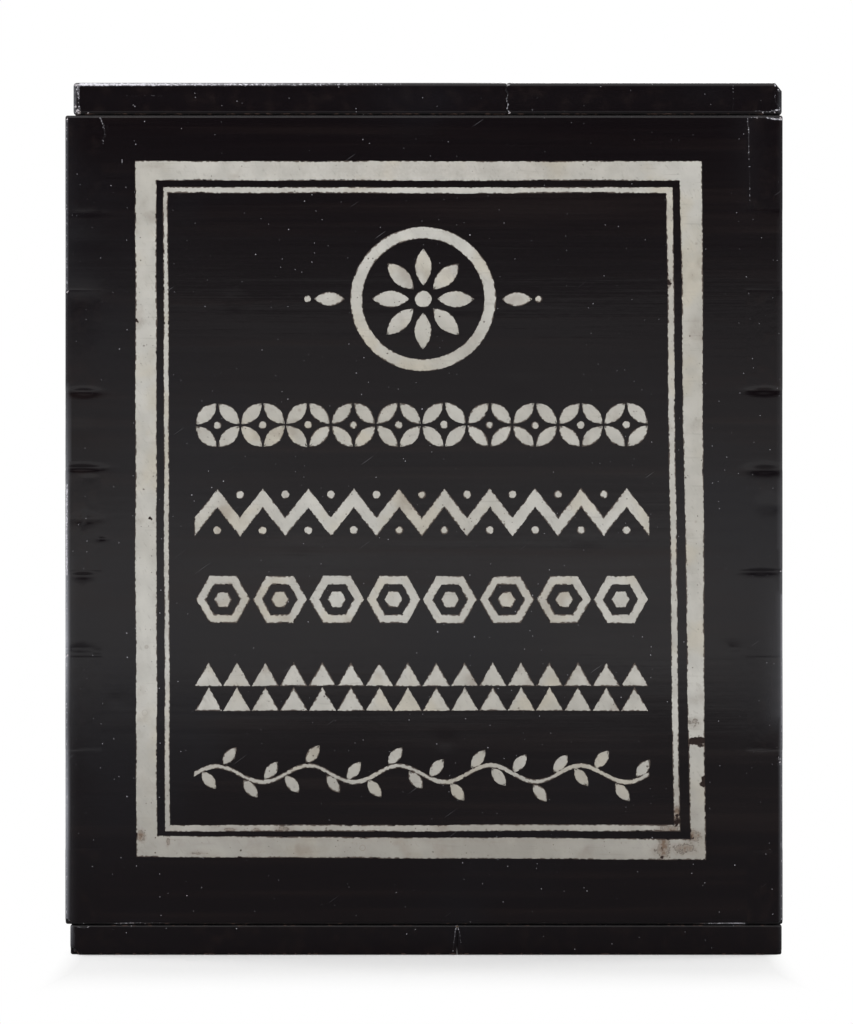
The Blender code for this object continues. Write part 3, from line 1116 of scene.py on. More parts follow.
def refine(bm: Mesh, wanted: Callable[[Vector], float], passes: int = 10) -> None:
    """Halve edges until each is as short as its place asks.

    Args:
        bm: The mesh.
        wanted: Gives the longest edge allowed at a point.
        passes: The most rounds of halving.
    """
    settled = bm.edges.layers.int.new("settled")
    for _ in range(passes):
        long_edges = []
        for edge in bm.edges:
            if edge[settled]:
                continue
            length = edge.calc_length()
            if length > SHORT_EDGE and length > wanted((edge.verts[0].co + edge.verts[1].co) / 2):
                long_edges.append(edge)
            else:
                edge[settled] = 1
        if not long_edges:
            break
        bmesh.ops.subdivide_edges(bm, edges=long_edges, cuts=1, use_grid_fill=True)
    bm.edges.layers.int.remove(settled)


def round_arrises(bm: Mesh, skin: Skin, width: float) -> None:
    """Round the edges that lie on two faces of the skin's box, with a narrow row of faces beside each.

    Args:
        bm: The mesh.
        skin: The skin that holds the box.
        width: Width of the rounding.
    """

    def planes(vert: bmesh.types.BMVert) -> set[Face]:
        """The faces of the box that a point lies on."""
        return {face for face in Face if abs(face.gap(vert.co, skin.low, skin.high)) < ON_FACE}

    edges = [edge for edge in bm.edges if len(planes(edge.verts[0]) & planes(edge.verts[1])) > 1]
    round_edges(bm, edges, width, 3)
    support = width + SUPPORT_ROW
    for face in Face:
        slice_at(bm, face.corner(skin.low, skin.high) - face.normal * support, face.normal)


def wear_in(bm: Mesh, skin: Skin) -> None:
    """Move a plain mesh onto its skin and note its wear, its scuffs, its painted highlights and its grime.

    Args:
        bm: The mesh, refined and in its place.
        skin: The skin.
    """
    names = ("wear", "rub", "scuff_and_highlight", "painted_glow", "grime")
    wear, rub, scuff_and_highlight, painted_glow, grime = [bm.verts.layers.float.new(name) for name in names]
    for vert in bm.verts:
        gaps = skin.gaps(vert.co)
        broken, chipped = skin.broken(vert.co)
        vert[wear] = max(chipped, skin.bareness(gaps))
        vert[rub] = skin.rubbing(gaps)
        vert[scuff_and_highlight] = skin.scuff_and_highlight_at(vert.co)
        vert[painted_glow] = skin.painted_glow_at(vert.co)
        vert[grime] = skin.griming(vert.co)
        vert.co = skin.moved(vert.co, gaps, broken)


def put(name: str, data: bpy.types.ID) -> bpy.types.Object:
    """A new object in the scene."""
    thing = bpy.data.objects.new(name, data)
    bpy.context.scene.collection.objects.link(thing)
    return thing


def settle(
    name: str,
    bm: Mesh,
    material: Material,
    body: str,
    stands_for: Iterable[str] = (),
    crease: float = math.radians(38),
) -> bpy.types.Object:
    """Make the finished piece, with its place in its mesh, and say what it rides on.

    Args:
        name: The piece's name.
        bm: Its mesh, which is freed.
        material: Its finish.
        body: The CAD body that it moves with.
        stands_for: The CAD nodes that it replaces.
        crease: The angle past which an edge is drawn sharp.

    Returns:
        The object.
    """
    mesh = bpy.data.meshes.new(name)
    bm.to_mesh(mesh)
    bm.free()
    mesh.shade_smooth()
    mesh.set_sharp_from_angle(angle=crease)
    mesh.materials.append(material)
    piece = put(name, mesh)
    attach(piece, body)
    if stands_for:
        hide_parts(*stands_for)
    log.info("%s: %d faces", name, len(mesh.polygons))
    return piece


@dataclass(frozen=True)
class Handling:
    """The wear of being carried and stacked, on the sides of a box that the photograph doesn't show."""

    skin: Skin
    seed: int

    SPARED = Face.FRONT
    RADIUS = (0.0008, 0.0022)
    DEPTH = (0.0001, 0.0005)
    WEAR = (0.26, 0.24, 0.16)
    FIELD = (0.06, 0.94)
    STEP = (0.006, 0.028)
    BEND = 0.4
    WIDTH = (0.0004, 0.0008)
    STRENGTH = (0.24, 0.50)

    def _edge_point(self, dice: random.Random) -> Vector:
        """A point on an arris of the box, beside lacquer and away from the spared side.

        Args:
            dice: Where the random numbers come from.

        Returns:
            The point.
        """
        while True:
            first, second = dice.choice(self.skin.lacquered), dice.choice(tuple(Face))
            if self.SPARED not in (first, second) and abs(first.normal.dot(second.normal)) < 0.5:
                break
        low, high = self.skin.low, self.skin.high
        place = Vector(least + (most - least) * dice.random() for least, most in zip(low, high))
        for face in (first, second):
            place += face.normal * face.gap(place, low, high)
        return place

    def chips(self, count: int) -> list[Chip]:
        """Small chips along the arrises.

        Args:
            count: How many to draw.

        Returns:
            The chips.
        """
        dice = random.Random(self.seed)
        chips = []
        for _ in range(count):
            place = self._edge_point(dice)
            lot = dice.random()
            radius = self.RADIUS[0] + self.RADIUS[1] * lot * lot
            if self.SPARED.gap(place, self.skin.low, self.skin.high) > 2 * radius:
                wear = self.WEAR[0] + self.WEAR[1] * lot + self.WEAR[2] * dice.random()
                chips.append(Chip(place, radius, self.DEPTH[0] + self.DEPTH[1] * lot, wear))
        return chips

    def scratches(self, count: int) -> list[Scratch]:
        """Thin bent scratches on the broad faces.

        Args:
            count: How many to draw.

        Returns:
            The scratches.
        """
        dice = random.Random(self.seed + 1)
        low, high = self.skin.low, self.skin.high
        faces = [face for face in self.skin.lacquered if face is not self.SPARED]
        found = []
        for _ in range(count):
            face = dice.choice(faces)
            start = Vector(
                least + (most - least) * dice.uniform(*self.FIELD) for least, most in zip(low, high)
            )
            start += face.normal * face.gap(start, low, high)
            course = Vector(dice.gauss(0, 1) for _ in range(3))
            course -= face.normal * course.dot(face.normal)
            course *= dice.uniform(*self.STEP) / course.length
            bend = face.normal.cross(course) * dice.uniform(-self.BEND, self.BEND)
            path = (start, start + course + bend, start + 2 * course + 2.6 * bend)
            strength = dice.uniform(*self.STRENGTH)
            found.append(Scratch(path, dice.uniform(*self.WIDTH), (strength, 0.6 * strength)))
        return found


@dataclass
class Walls:
    """The four lacquered boards, their fingers closed up and telling through the lacquer."""

    FINGER_SHARES = (0.094, 0.216, 0.330, 0.438, 0.562, 0.660, 0.784, 0.882)
    ARRIS = 0.0012
    DIMPLE = 0.0042
    DIMPLE_DEPTH = 0.00009
    SHIFTS = {Face.BACK: 0.013, Face.LEFT: -0.009, Face.RIGHT: 0.022}

    thickness: float = 0.020
    skin: WallSkin = field(init=False)

    LEFT_MARKS = (
        ((84, 213), (17, 2.6), 0.00005), ((82, 298), (18, 13), 0.00010), ((84, 320), (16, 20), 0.00006),
        ((84, 240), (16, 9.0), 0.00003), ((84, 392), (13, 3.4), 0.00017), ((80, 430), (12, 9), 0.00005),
        ((82, 468), (17, 2.4), 0.00018), ((89, 477.5), (6, 1.8), 0.00008), ((85, 519), (11, 3.0), 0.00014),
        ((101, 539), (5, 1.8), 0.00006), ((83, 576), (9, 2.6), 0.00014), ((80, 648.5), (13, 1.7), 0.00012),
        ((97, 652), (5, 1.8), 0.00004), ((76, 800), (8, 14), 0.00006),
    )
    RIGHT_MARKS = (
        ((764, 213), (14, 4.0), 0.00001), ((764, 391), (14, 3.0), 0.00014),
        ((765, 470), (15, 4.2), 0.00018), ((770, 505), (9, 6.0), 0.00014), ((761, 572), (15, 2.2), 0.00016),
        ((733, 648), (9, 3.0), 0.00005), ((762, 748), (9, 2.6), 0.00003), ((764, 850), (11, 2.6), 0.00003),
    )
    FIELD_MARKS = (
        ((445, 741), (9, 5), 0.00006), ((232, 300), (9, 4), 0.00003), ((300, 545), (12, 5), 0.00003),
        ((586, 540), (14, 4), 0.00003), ((520, 384), (16, 5), 0.00003), ((120, 700), (10, 6), 0.00003),
    )
    MARKS = Marks(
        chips=(
            ((66.5, 118.5), 1.8, 0.00025, 0.30), ((757.5, 117.5), 1.0, 0.00015, 0.40),
            ((774, 118.5), 1.0, 0.00015, 0.46), ((781, 118), 1.9, 0.00030, 0.46),
            ((782, 924.5), 5.0, 0.0015, 0.10), ((66, 924.5), 6.5, 0.0024, 0.10),
            ((780.5, 758), 2.6, 0.00045, 0.30), ((780.5, 763), 2.2, 0.00040, 0.34),
            ((67, 292), 1.8, 0.00020, 0.38), ((781, 571), 1.6, 0.00015, 0.38),
            ((66.5, 655), 1.6, 0.00015, 0.36),
        ),
        scratches=(
            (((100.5, 118), (101.2, 120), (102.6, 124)), 0.9, (0.80, 0.50)),
            (((103.6, 126), (105, 134), (102.5, 143)), 1.9, (0.34, 0.28)),
            (((107, 125), (108, 131)), 1.0, (0.34, 0.28)),
            (((747.6, 118), (748.6, 130), (749, 152)), 1.0, (0.46, 0.42)),
            (((749, 152), (749.8, 185), (749.5, 214)), 0.9, (0.38, 0.30)),
            (((749, 292), (750, 325)), 0.9, (0.26, 0.16)), (((102, 298), (102, 320)), 0.9, (0.20, 0.12)),
            (((122, 160), (122, 164)), 0.9, (0.46, 0.40)),
            # These four lines are highlights painted along the left and right arrises, and the next one is a
            # highlight painted over a finger's edge.
            (((66.3, 120), (66.0, 210), (66.3, 290)), 1.3, (0.30, 0.36)),
            (((66.6, 485), (66.2, 530), (66.4, 575)), 1.2, (0.80, 0.95)),
            (((66.3, 575), (66.2, 925)), 1.2, (0.36, 0.30)), (((782, 560), (782, 924)), 1.2, (0.24, 0.34)),
            (((66, 212), (72, 216), (84, 214)), 2.0, (0.34, 0.16)),
            (((749, 117.4), (756, 117.2), (765, 117.8)), 0.9, (0.40, 0.34)),
            (((767, 117.6), (774, 119.0), (783, 119.2)), 1.5, (0.50, 0.80)),
            (((74, 924.6), (84, 924), (91, 924.8)), 1.2, (0.50, 0.40)),
            (((105, 924.6), (118, 923.8), (131, 923.2)), 1.2, (0.60, 0.44)),
            (((133, 923.0), (152, 922.6), (166, 923.0)), 1.0, (0.34, 0.26)),
            # A highlight painted along the foot's arris at the right.
            (((682, 924.6), (706, 924.2), (722, 923.7), (744, 924.0)), 1.5, (0.22, 0.95)),
        ),
        # Soft highlights painted along the left and right arrises, and faint broad painted glows.
        painted_glows=(
            (((66, 120), (66, 290)), 4.0, (0.24, 0.28)), (((66, 120), (66, 290)), 30.0, (0.012, 0.010)),
            (((66, 290), (66, 385)), 3.0, (0.12, 0.10)), (((66, 385), (66, 485)), 6.0, (0.14, 0.50)),
            (((66, 485), (66, 575)), 6.0, (0.50, 0.62)), (((66, 575), (66, 640)), 6.5, (0.70, 1.00)),
            (((66, 640), (66, 720)), 6.5, (1.00, 0.42)), (((66, 720), (66, 800)), 6.5, (0.42, 0.95)),
            (((66, 800), (66, 925)), 6.5, (0.95, 0.45)), (((66, 560), (66, 925)), 16.0, (0.06, 0.07)),
            (((750, 120), (750, 210)), 50.0, (0.010, 0.005)),
            (((782.3, 120), (782.3, 480)), 5.0, (0.05, 0.12)),
            (((782.3, 480), (782.3, 600)), 6.0, (0.14, 0.22)),
            (((782.3, 595), (782.3, 725)), 3.5, (0.70, 0.80)),
            (((782.3, 595), (782.3, 715)), 15.0, (0.12, 0.17)),
            (((783, 590), (783, 640), (783, 712)), 36.0, (0.03, 0.09)),
            (((782.3, 720), (782.3, 925)), 5.5, (0.40, 0.26)),
        ),
    )
    FOOT_SPAN = (76, 148)
    FOOT_ROW = 924.0
    FOOT_CHIPS = 10

    def __post_init__(self) -> None:
        """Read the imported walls' box and lay the marks and chips on it."""
        boxes = [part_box(f"{name}_board") for name in ("front", "back", "left", "right")]
        low = Vector(min(box[0][axis] for box in boxes) for axis in range(3))
        high = Vector(max(box[1][axis] for box in boxes) for axis in range(3))
        levels = tuple(low.z + share * (high.z - low.z) for share in self.FINGER_SHARES)
        rubs = front_rubs(0.16, 0.30)
        self.skin = WallSkin(low, high, SIDES, rubs=rubs, levels=levels, thickness=self.thickness)
        self.skin.joints = (Face.TOP, Face.UNDER)
        self.skin.overlap = (0.0046, 0.0075)
        self.skin.dents = self._dents()
        self.skin.mark(self.MARKS)
        self.skin.chips += self._foot_wear()
        wear = Handling(self.skin, 11)
        self.skin.chips += wear.chips(70)
        self.skin.scratches += wear.scratches(26)

    def _dents(self) -> dict[Face, list[Spot]]:
        """Hollows over the fingers, and over the nails in the side boards' fingers.

        Returns:
            The hollows of each side. Those at the unseen corners are like those of the front.
        """
        skin = self.skin
        edges = (skin.low.z, *skin.levels, skin.high.z)
        middles = [(first + second) / 2 for first, second in zip(edges[0::2], edges[1::2])]
        line = skin.high.y - self.thickness / 2
        shape = (self.DIMPLE, self.DIMPLE, self.DIMPLE_DEPTH)
        dimples = [Spot(y, z, *shape) for y in (-line, line) for z in middles]
        corners = [Spot.seen_at(*mark) for mark in (*self.LEFT_MARKS, *self.RIGHT_MARKS)]
        dents = {Face.FRONT: corners + [Spot.seen_at(*mark) for mark in self.FIELD_MARKS]}
        for face, shift in self.SHIFTS.items():
            turned = [replace(spot, across=-spot.across, up=spot.up + shift) for spot in corners]
            dents[face] = turned if face is Face.BACK else dimples + turned
        return dents

    def _foot_wear(self) -> list[Chip]:
        """Worn streaks along the foot of the front.

        Returns:
            The chips.
        """
        dice = random.Random(5)
        chips = []
        for _ in range(self.FOOT_CHIPS):
            pixel = (dice.uniform(*self.FOOT_SPAN), self.FOOT_ROW + dice.uniform(-0.8, 0.8))
            wear = dice.choice((0.42, 0.45, 0.62))
            chips.append(Chip.seen_at(pixel, dice.uniform(0.8, 1.7), 0.00012, wear, self.skin.low.y))
        return chips

    def board(self, length: float, turn: float, reach: float, first_is_long: bool) -> Mesh:
        """One board with its fingers, turned to its side of the chest.

        Args:
            length: Length from finger tip to finger tip.
            turn: Turn about Z from the front, in radians.
            reach: How far the outer face lies from the chest's middle.
            first_is_long: Whether the lowest finger is this board's.

        Returns:
            The mesh.
        """
        skin = self.skin
        core = Vector((length - 2 * self.thickness, self.thickness, skin.high.z - skin.low.z))
        bm = plain_box(core, Vector((0, self.thickness / 2 - reach, (skin.low.z + skin.high.z) / 2)))
        for level in skin.levels:
            slice_at(bm, Vector((0, 0, level)), Face.TOP.normal)
        tips = [
            face
            for face in bm.faces
            if abs(face.normal.x) > 0.5 and (skin.zone(face.calc_center_median().z) % 2 == 0) == first_is_long
        ]
        for face in bmesh.ops.extrude_discrete_faces(bm, faces=tips)["faces"]:
            push = math.copysign(self.thickness, face.normal.x)
            bmesh.ops.translate(bm, vec=(push, 0, 0), verts=face.verts)
        bmesh.ops.rotate(bm, cent=(0, 0, 0), matrix=Matrix.Rotation(turn, 3, "Z"), verts=bm.verts)
        round_arrises(bm, skin, self.ARRIS)
        refine(bm, skin.wanted)
        wear_in(bm, skin)
        return bm

    def build(self, lacquer: Lacquer) -> None:
        """Make and dress the four boards.

        Args:
            lacquer: The finish.
        """
        size = self.skin.high - self.skin.low
        quarter = math.pi / 2
        boards = (
            ("front_board", size.x, 0.0, self.skin.high.y, False, Grain.ACROSS),
            ("back_board", size.x, 2 * quarter, self.skin.high.y, False, Grain.ACROSS),
            ("left_board", size.y, -quarter, self.skin.high.x, True, Grain.DEEP),
            ("right_board", size.y, quarter, self.skin.high.x, True, Grain.DEEP),
        )
        for node, length, turn, reach, first_is_long, grain in boards:
            bm = self.board(length, turn, reach, first_is_long)
            material = lacquer.material(f"lacquer_{node}", grain)
            settle(f"lacquered_{node}", bm, material, "body", (node,))


@dataclass
class PlankPair:
    """Two lacquered planks side by side: the lid's or the bottom's."""

    BREAK = Vector((0.0041, 0.0550, 0.0050))

    prefix: str
    body: str
    lacquered: tuple[Face, ...]
    arris: float
    marks: Marks
    chip_count: int
    rubs: Rubs
    skin: SlabSkin = field(init=False)

    def __post_init__(self) -> None:
        """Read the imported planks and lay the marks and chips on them."""
        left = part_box(f"{self.prefix}_plank_left")
        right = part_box(f"{self.prefix}_plank_right")
        joint_x = (left[1].x + right[0].x) / 2
        self.skin = SlabSkin(left[0], right[1], self.lacquered, joint_x=joint_x, rubs=self.rubs)
        self.skin.overlap = (0.0022, 0.0065)
        self.skin.joints = (Face.UNDER if Face.TOP in self.lacquered else Face.TOP,)
        self.skin.mark(self.marks)
        wear = Handling(self.skin, sum(map(ord, self.prefix)))
        self.skin.chips += wear.chips(self.chip_count)
        self.skin.scratches += wear.scratches(self.chip_count // 3)

    def _break_corner(self, bm: Mesh) -> None:
        """Break off the upper right corner at the front.

        Args:
            bm: The right plank, still a plain box.
        """
        corner = Vector((self.skin.high.x, self.skin.low.y, self.skin.high.z))
        for face, depth in zip((Face.RIGHT, Face.FRONT, Face.TOP), self.BREAK):
            slice_at(bm, corner - face.normal * depth, face.normal)
        normal = Vector((1 / self.BREAK.x, -1 / self.BREAK.y, 1 / self.BREAK.z)).normalized()
        slice_at(bm, corner - Vector((self.BREAK.x, 0, 0)), normal, clear=True)
        bmesh.ops.holes_fill(bm, edges=[edge for edge in bm.edges if edge.is_boundary])

    def build(self, lacquer: Lacquer) -> None:
        """Make and dress the two planks.

        Args:
            lacquer: The finish.
        """
        for side in ("left", "right"):
            node = f"{self.prefix}_plank_{side}"
            low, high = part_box(node)
            bm = plain_box(high - low, (low + high) / 2)
            if side == "right" and Face.TOP in self.lacquered:
                self._break_corner(bm)
            round_arrises(bm, self.skin, self.arris)
            refine(bm, self.skin.wanted)
            wear_in(bm, self.skin)
            material = lacquer.material(f"lacquer_{node}", Grain.DEEP)
            settle(f"lacquered_{node}", bm, material, self.body, (node,))


LID_FRONT = Marks(
    chips=(
        ((75, 83.5), 3.0, 0.00045, 0.40), ((73.5, 91), 2.6, 0.00035, 0.20), ((74, 98), 2.2, 0.00030, 0.16),
        ((74, 106), 2.6, 0.00040, 0.40), ((77, 111.5), 3.6, 0.00055, 0.44),
        ((80, 112.5), 1.4, 0.00020, 0.62), ((88, 113), 1.0, 0.00010, 0.50),
        ((783, 108), 2.0, 0.00030, 0.42), ((509.5, 112.5), 1.9, 0.00020, 0.46),
        ((763, 112.8), 1.0, 0.00015, 0.52), ((775, 112.5), 1.3, 0.00020, 0.47),
    ),
    scratches=(
        # A highlight painted along the top arris, bright at the left and fading to the right.
        (((80, 83.6), (200, 83.4), (330, 83.4), (430, 83.2)), 2.6, (1.0, 0.16)),
        (((430, 83.2), (640, 82.8), (776, 82.8)), 1.6, (0.24, 0.26)),
        (((774, 83.5), (781.5, 92.5)), 1.6, (0.46, 0.40)),
        # A highlight painted on the rounded left end.
        (((78.6, 84), (77.4, 90), (78.2, 97)), 2.6, (0.60, 0.40)),
        (((78.4, 97), (78.8, 111)), 1.8, (0.34, 0.36)),
        (
            ((506.5, 87), (505.8, 90), (508, 94), (506.4, 99), (508, 104), (507, 109), (509.5, 113)),
            0.9, (0.40, 0.56),
        ),
        (((733, 84), (733.6, 98), (733, 112)), 0.9, (0.30, 0.34)),
        (((779, 86), (775, 92), (776, 102), (781, 108)), 1.2, (0.30, 0.34)),
        (((756, 111), (768, 112), (782, 109)), 1.5, (0.30, 0.50)),
        (((120, 96), (150, 95), (172, 97)), 1.3, (0.16, 0.20)), (((194, 93), (206, 96)), 1.1, (0.28, 0.20)),
    ),
    # Painted highlights: on the left end, a faint even sheen over the whole front, and on the right end.
    painted_glows=(
        (((73, 84), (73, 113)), 6.0, (0.55, 0.50)), (((72, 98), (782, 98)), 60.0, (0.0035, 0.0035)),
        (((781, 92), (781, 112)), 6.0, (0.10, 0.16)),
    ),
)
BOTTOM_FRONT = Marks(
    chips=(
        ((457, 926.5), 1.8, 0.00025, 0.80), ((88, 926.5), 1.3, 0.00012, 0.44),
        ((131, 926), 1.2, 0.00012, 0.60), ((71.5, 954), 8.0, 0.0026, 0.10),
        ((781.5, 954), 5.0, 0.0014, 0.10),
    ),
    scratches=(
        (((457, 925), (455.4, 931), (454.5, 938), (453.6, 945), (453, 953)), 1.0, (0.64, 0.26)),
        (((457, 925), (459.4, 932), (460.4, 939), (461.4, 946)), 0.9, (0.56, 0.20)),
        (((77, 927), (84, 928), (90, 926.6)), 1.1, (0.50, 0.30)),
        # A highlight painted along the top arris at the right.
        (((712, 926.4), (745, 926.0)), 1.0, (0.24, 0.34)),
        (((72, 954), (300, 954.5), (470, 954.5), (782, 954.5)), 1.2, (0.24, 0.20)),
    ),
    # Highlights painted on the two rounded ends.
    painted_glows=(
        (((71, 927), (71, 953)), 5.0, (0.30, 0.10)), (((781.6, 927), (781.6, 953)), 4.0, (0.10, 0.06)),
    ),
)


class Liner:
    """The soft metal liner: folded walls, a floor tray lapped inside them, and the solder between."""

    CORNER = 0.003
    SHEET = 0.0007
    SHEET_EDGE = 0.0075
    DENT = 0.0011
    SOLDER = 0.0014
    SOLDER_EDGE = 0.0032

    def _sheet(self, node: str, has_floor: bool, dent: float) -> Mesh:
        """A dented sheet box with no lid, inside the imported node's outer size.

        Args:
            node: The CAD node that gives the size.
            has_floor: Whether the box has a bottom.
            dent: Depth of the dents.

        Returns:
            The mesh, with its thickness.
        """
        low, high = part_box(node)
        bm = plain_box(high - low, (low + high) / 2)
        ends = [face for face in bm.faces if face.normal.z > 0.5 or (face.normal.z < -0.5 and not has_floor)]
        bmesh.ops.delete(bm, geom=ends, context="FACES")
        round_edges(bm, [edge for edge in bm.edges if not edge.is_boundary], self.CORNER, 4)
        refine(bm, lambda point: self.SHEET_EDGE)
        bm.normal_update()
        inward = {vert: -vert.normal for vert in bm.verts}
        for vert, direction in inward.items():
            waves = 0.5 + 0.5 * ripple(vert.co, 0.055, 2.0) + 0.35 * ripple(vert.co, 0.018, 4.0)
            edge = smooth_step(0.0, 0.006, high.z - vert.co.z)
            edge *= smooth_step(0.0, 0.004, vert.co.z - low.z + 0.002)
            vert.co += direction * dent * max(0.0, waves) * (0.25 + 0.75 * edge)
        bmesh.ops.solidify(bm, geom=bm.faces[:], thickness=self.SHEET)
        bmesh.ops.recalc_face_normals(bm, faces=bm.faces)
        return bm

    def _solder(self) -> Mesh:
        """A lumpy bead of solder round the rim of the floor tray.

        Returns:
            The mesh.
        """
        low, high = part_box("liner_floor")
        inset = self.SHEET + self.DENT
        bm = bmesh.new()
        bmesh.ops.create_grid(bm, x_segments=1, y_segments=1, size=0.5)
        bmesh.ops.scale(bm, vec=(high.x - low.x - 2 * inset, high.y - low.y - 2 * inset, 1), verts=bm.verts)
        bmesh.ops.translate(bm, vec=(0, 0, high.z - self.SOLDER), verts=bm.verts)
        width = 1.6 * self.SOLDER
        bmesh.ops.inset_region(bm, faces=bm.faces[:], thickness=width, **EVEN)
        middle = min(bm.faces, key=lambda face: face.calc_center_median().length_squared)
        bmesh.ops.delete(bm, geom=[middle], context="FACES")
        bmesh.ops.solidify(bm, geom=bm.faces[:], thickness=-1.8 * self.SOLDER)
        refine(bm, lambda point: self.SOLDER_EDGE)
        axes = {"use_axis_x": True, "use_axis_y": True, "use_axis_z": True}
        bmesh.ops.smooth_vert(bm, verts=bm.verts, factor=0.5, **axes)
        bmesh.ops.recalc_face_normals(bm, faces=bm.faces)
        for vert in bm.verts:
            vert.co += vert.normal * 0.0003 * ripple(vert.co, 0.006, 9.0)
        return bm

    def build(self, metal: Material) -> None:
        """Make and dress the liner.

        Args:
            metal: The finish.
        """
        walls = self._sheet("liner_wall", False, self.DENT)
        settle("liner_wall_dented", walls, metal, "body", ("liner_wall",))
        floor = self._sheet("liner_floor", True, 0.4 * self.DENT)
        settle("liner_floor_dented", floor, metal, "body", ("liner_floor",))
        settle("liner_solder", self._solder(), metal, "body")


def dress_nodes(names: Iterable[str], material: Material) -> None:
    """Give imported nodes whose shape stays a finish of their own.

    Args:
        names: The nodes.
        material: The finish.
    """
    for name in names:
        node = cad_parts[name]
        node.data.materials.clear()
        node.data.materials.append(material)
        log.info("%s: %s", name, material.name)


class Stencil:
    """Flat painted shapes for the front: X runs across it and Y is the height above the floor."""

    RIM = 0.0009
    CUT = 0.0016
    STRAYS = ((0.00050, 0.080, 0), (0.00020, 0.014, 2), (0.00012, 0.004, 4))

    def __init__(self) -> None:
        """Start with nothing painted."""
        self.bm = bmesh.new()

    def _placed(self, middle: Point, turn: float) -> Matrix:
        """The place of a shape by its middle and its turn, in radians."""
        return Matrix.Translation((*middle, 0)) @ Matrix.Rotation(turn, 4, "Z")

    def polygon(self, middle: Point, radius: float, corners: int = 20, turn: float = 0.0) -> None:
        """A regular polygon, or a disc where it has many corners. Its radius runs to a corner."""
        place = self._placed(middle, turn)
        bmesh.ops.create_circle(self.bm, cap_ends=True, radius=radius, segments=corners, matrix=place)

    def ring(self, middle: Point, outer: float, inner: float, corners: int = 72, turn: float = 0.0) -> None:
        """A ring, or a polygon's outline where it has few corners.

        Args:
            middle: Its middle.
            outer: Distance from the middle to an outer corner.
            inner: Distance from the middle to an inner corner.
            corners: How many corners.
            turn: Turn about its middle, in radians.
        """
        shape = {"segments": corners, "matrix": self._placed(middle, turn)}
        made = [bmesh.ops.create_circle(self.bm, radius=radius, **shape) for radius in (outer, inner)]
        edges = list({edge for circle in made for point in circle["verts"] for edge in point.link_edges})
        bmesh.ops.bridge_loops(self.bm, edges=edges)

    def band(self, outer: tuple[Point, ...], inner: tuple[Point, ...]) -> None:
        """A four-sided frame.

        Args:
            outer: Its outer corners in order, in pixels of the photograph.
            inner: Its inner corners in the same order.
        """
        edges = set()
        for corners in (outer, inner):
            points = bmesh.ops.create_circle(self.bm, radius=1, segments=4)["verts"]
            for point, pixel in zip(points, corners):
                point.co = (*Photo.point(pixel), 0)
            edges |= {edge for point in points for edge in point.link_edges}
        bmesh.ops.bridge_loops(self.bm, edges=list(edges))

    def leaf(self, middle: Point, length: float, width: float, turn: float) -> None:
        """A leaf with two sharp tips.

        Args:
            middle: Its middle.
            length: Distance between the tips.
            width: Width in the middle.
            turn: Angle of its length above the horizontal, in radians.
        """
        points = bmesh.ops.create_circle(self.bm, cap_ends=True, radius=1, segments=28)["verts"]
        for point in points:
            point.co.y *= abs(point.co.y) * width / 2
            point.co.x *= length / 2
        bmesh.ops.transform(self.bm, matrix=self._placed(middle, turn), verts=points)

    def ribbon(
        self, start: Point, length: float, width: float, steps: int, course: Callable[[float], float]
    ) -> None:
        """A band of even height that follows a course from left to right.

        Args:
            start: Its left end.
            length: Its length across.
            width: Its height.
            steps: How many pieces it is divided into.
            course: Gives its height above the start at a distance from the start.
        """
        made = bmesh.ops.create_grid(self.bm, x_segments=steps, y_segments=1, size=0.5)
        for point in made["verts"]:
            along = (point.co.x + 0.5) * length
            point.co = (start[0] + along, start[1] + point.co.y * width + course(along), 0)

    def finish(self) -> Mesh:
        """Mark the rims, cut the shapes up and let their outlines waver.

        Returns:
            The flat mesh.
        """
        bm = self.bm
        bmesh.ops.recalc_face_normals(bm, faces=bm.faces)
        bmesh.ops.inset_region(bm, faces=bm.faces[:], thickness=self.RIM, **EVEN)
        for name in ("loss", "stain"):
            bm.verts.layers.float.new(name)
        rim = bm.verts.layers.float.new("rim")
        for vert in bm.verts:
            vert[rim] = 1.0 if vert.is_boundary else 0.0
        for axis in (0, 1):
            normal = Vector((1 - axis, axis, 0))
            places = [vert.co[axis] for vert in bm.verts]
            cut = self.CUT * (math.floor(min(places) / self.CUT) + 1)
            while cut < max(places):
                slice_at(bm, normal * cut, normal, within=1e-7)
                cut += self.CUT
        for vert in bm.verts:
            vert.co += self.waver(vert.co)
        return bm

    def waver(self, place: Vector) -> Vector:
        """How far a brush strays at a place, across and up."""
        return Vector(
            sum(far * ripple(place, wavelength, seed + own) for far, wavelength, own in self.STRAYS)
            for seed in (21.0, 31.0)
        ).to_3d()


@dataclass
class PaintFilm:
    """Paint on the front: a thin closed film with its back sunk into the lacquer."""

    skin: Skin
    losses: tuple[Spot, ...]
    stains: tuple[Spot, ...]
    height: float = 0.00009
    sunk: float = 0.00025

    def lay(self, name: str, stencil: Stencil, paint: Material) -> None:
        """Turn flat shapes into a film on the front.

        Args:
            name: The piece's name.
            stencil: The shapes.
            paint: The finish.
        """
        bm = stencil.finish()
        top = bmesh.ops.extrude_face_region(bm, geom=bm.faces[:])["geom"]
        raised = {item for item in top if isinstance(item, bmesh.types.BMVert)}
        loss = bm.verts.layers.float["loss"]
        stain = bm.verts.layers.float["stain"]
        for vert in bm.verts:
            across, up = vert.co.x, vert.co.y
            vert[loss] = max(spot.at(across, up) for spot in self.losses)
            vert[stain] = max(spot.at(across, up) for spot in self.stains)
            front = self.skin.low.y + self.skin.depth(Face.FRONT, Vector((across, self.skin.low.y, up)))
            vert.co = (across, front - self.height if vert in raised else front + self.sunk, up)
        bmesh.ops.recalc_face_normals(bm, faces=bm.faces)
        settle(name, bm, paint, "body")


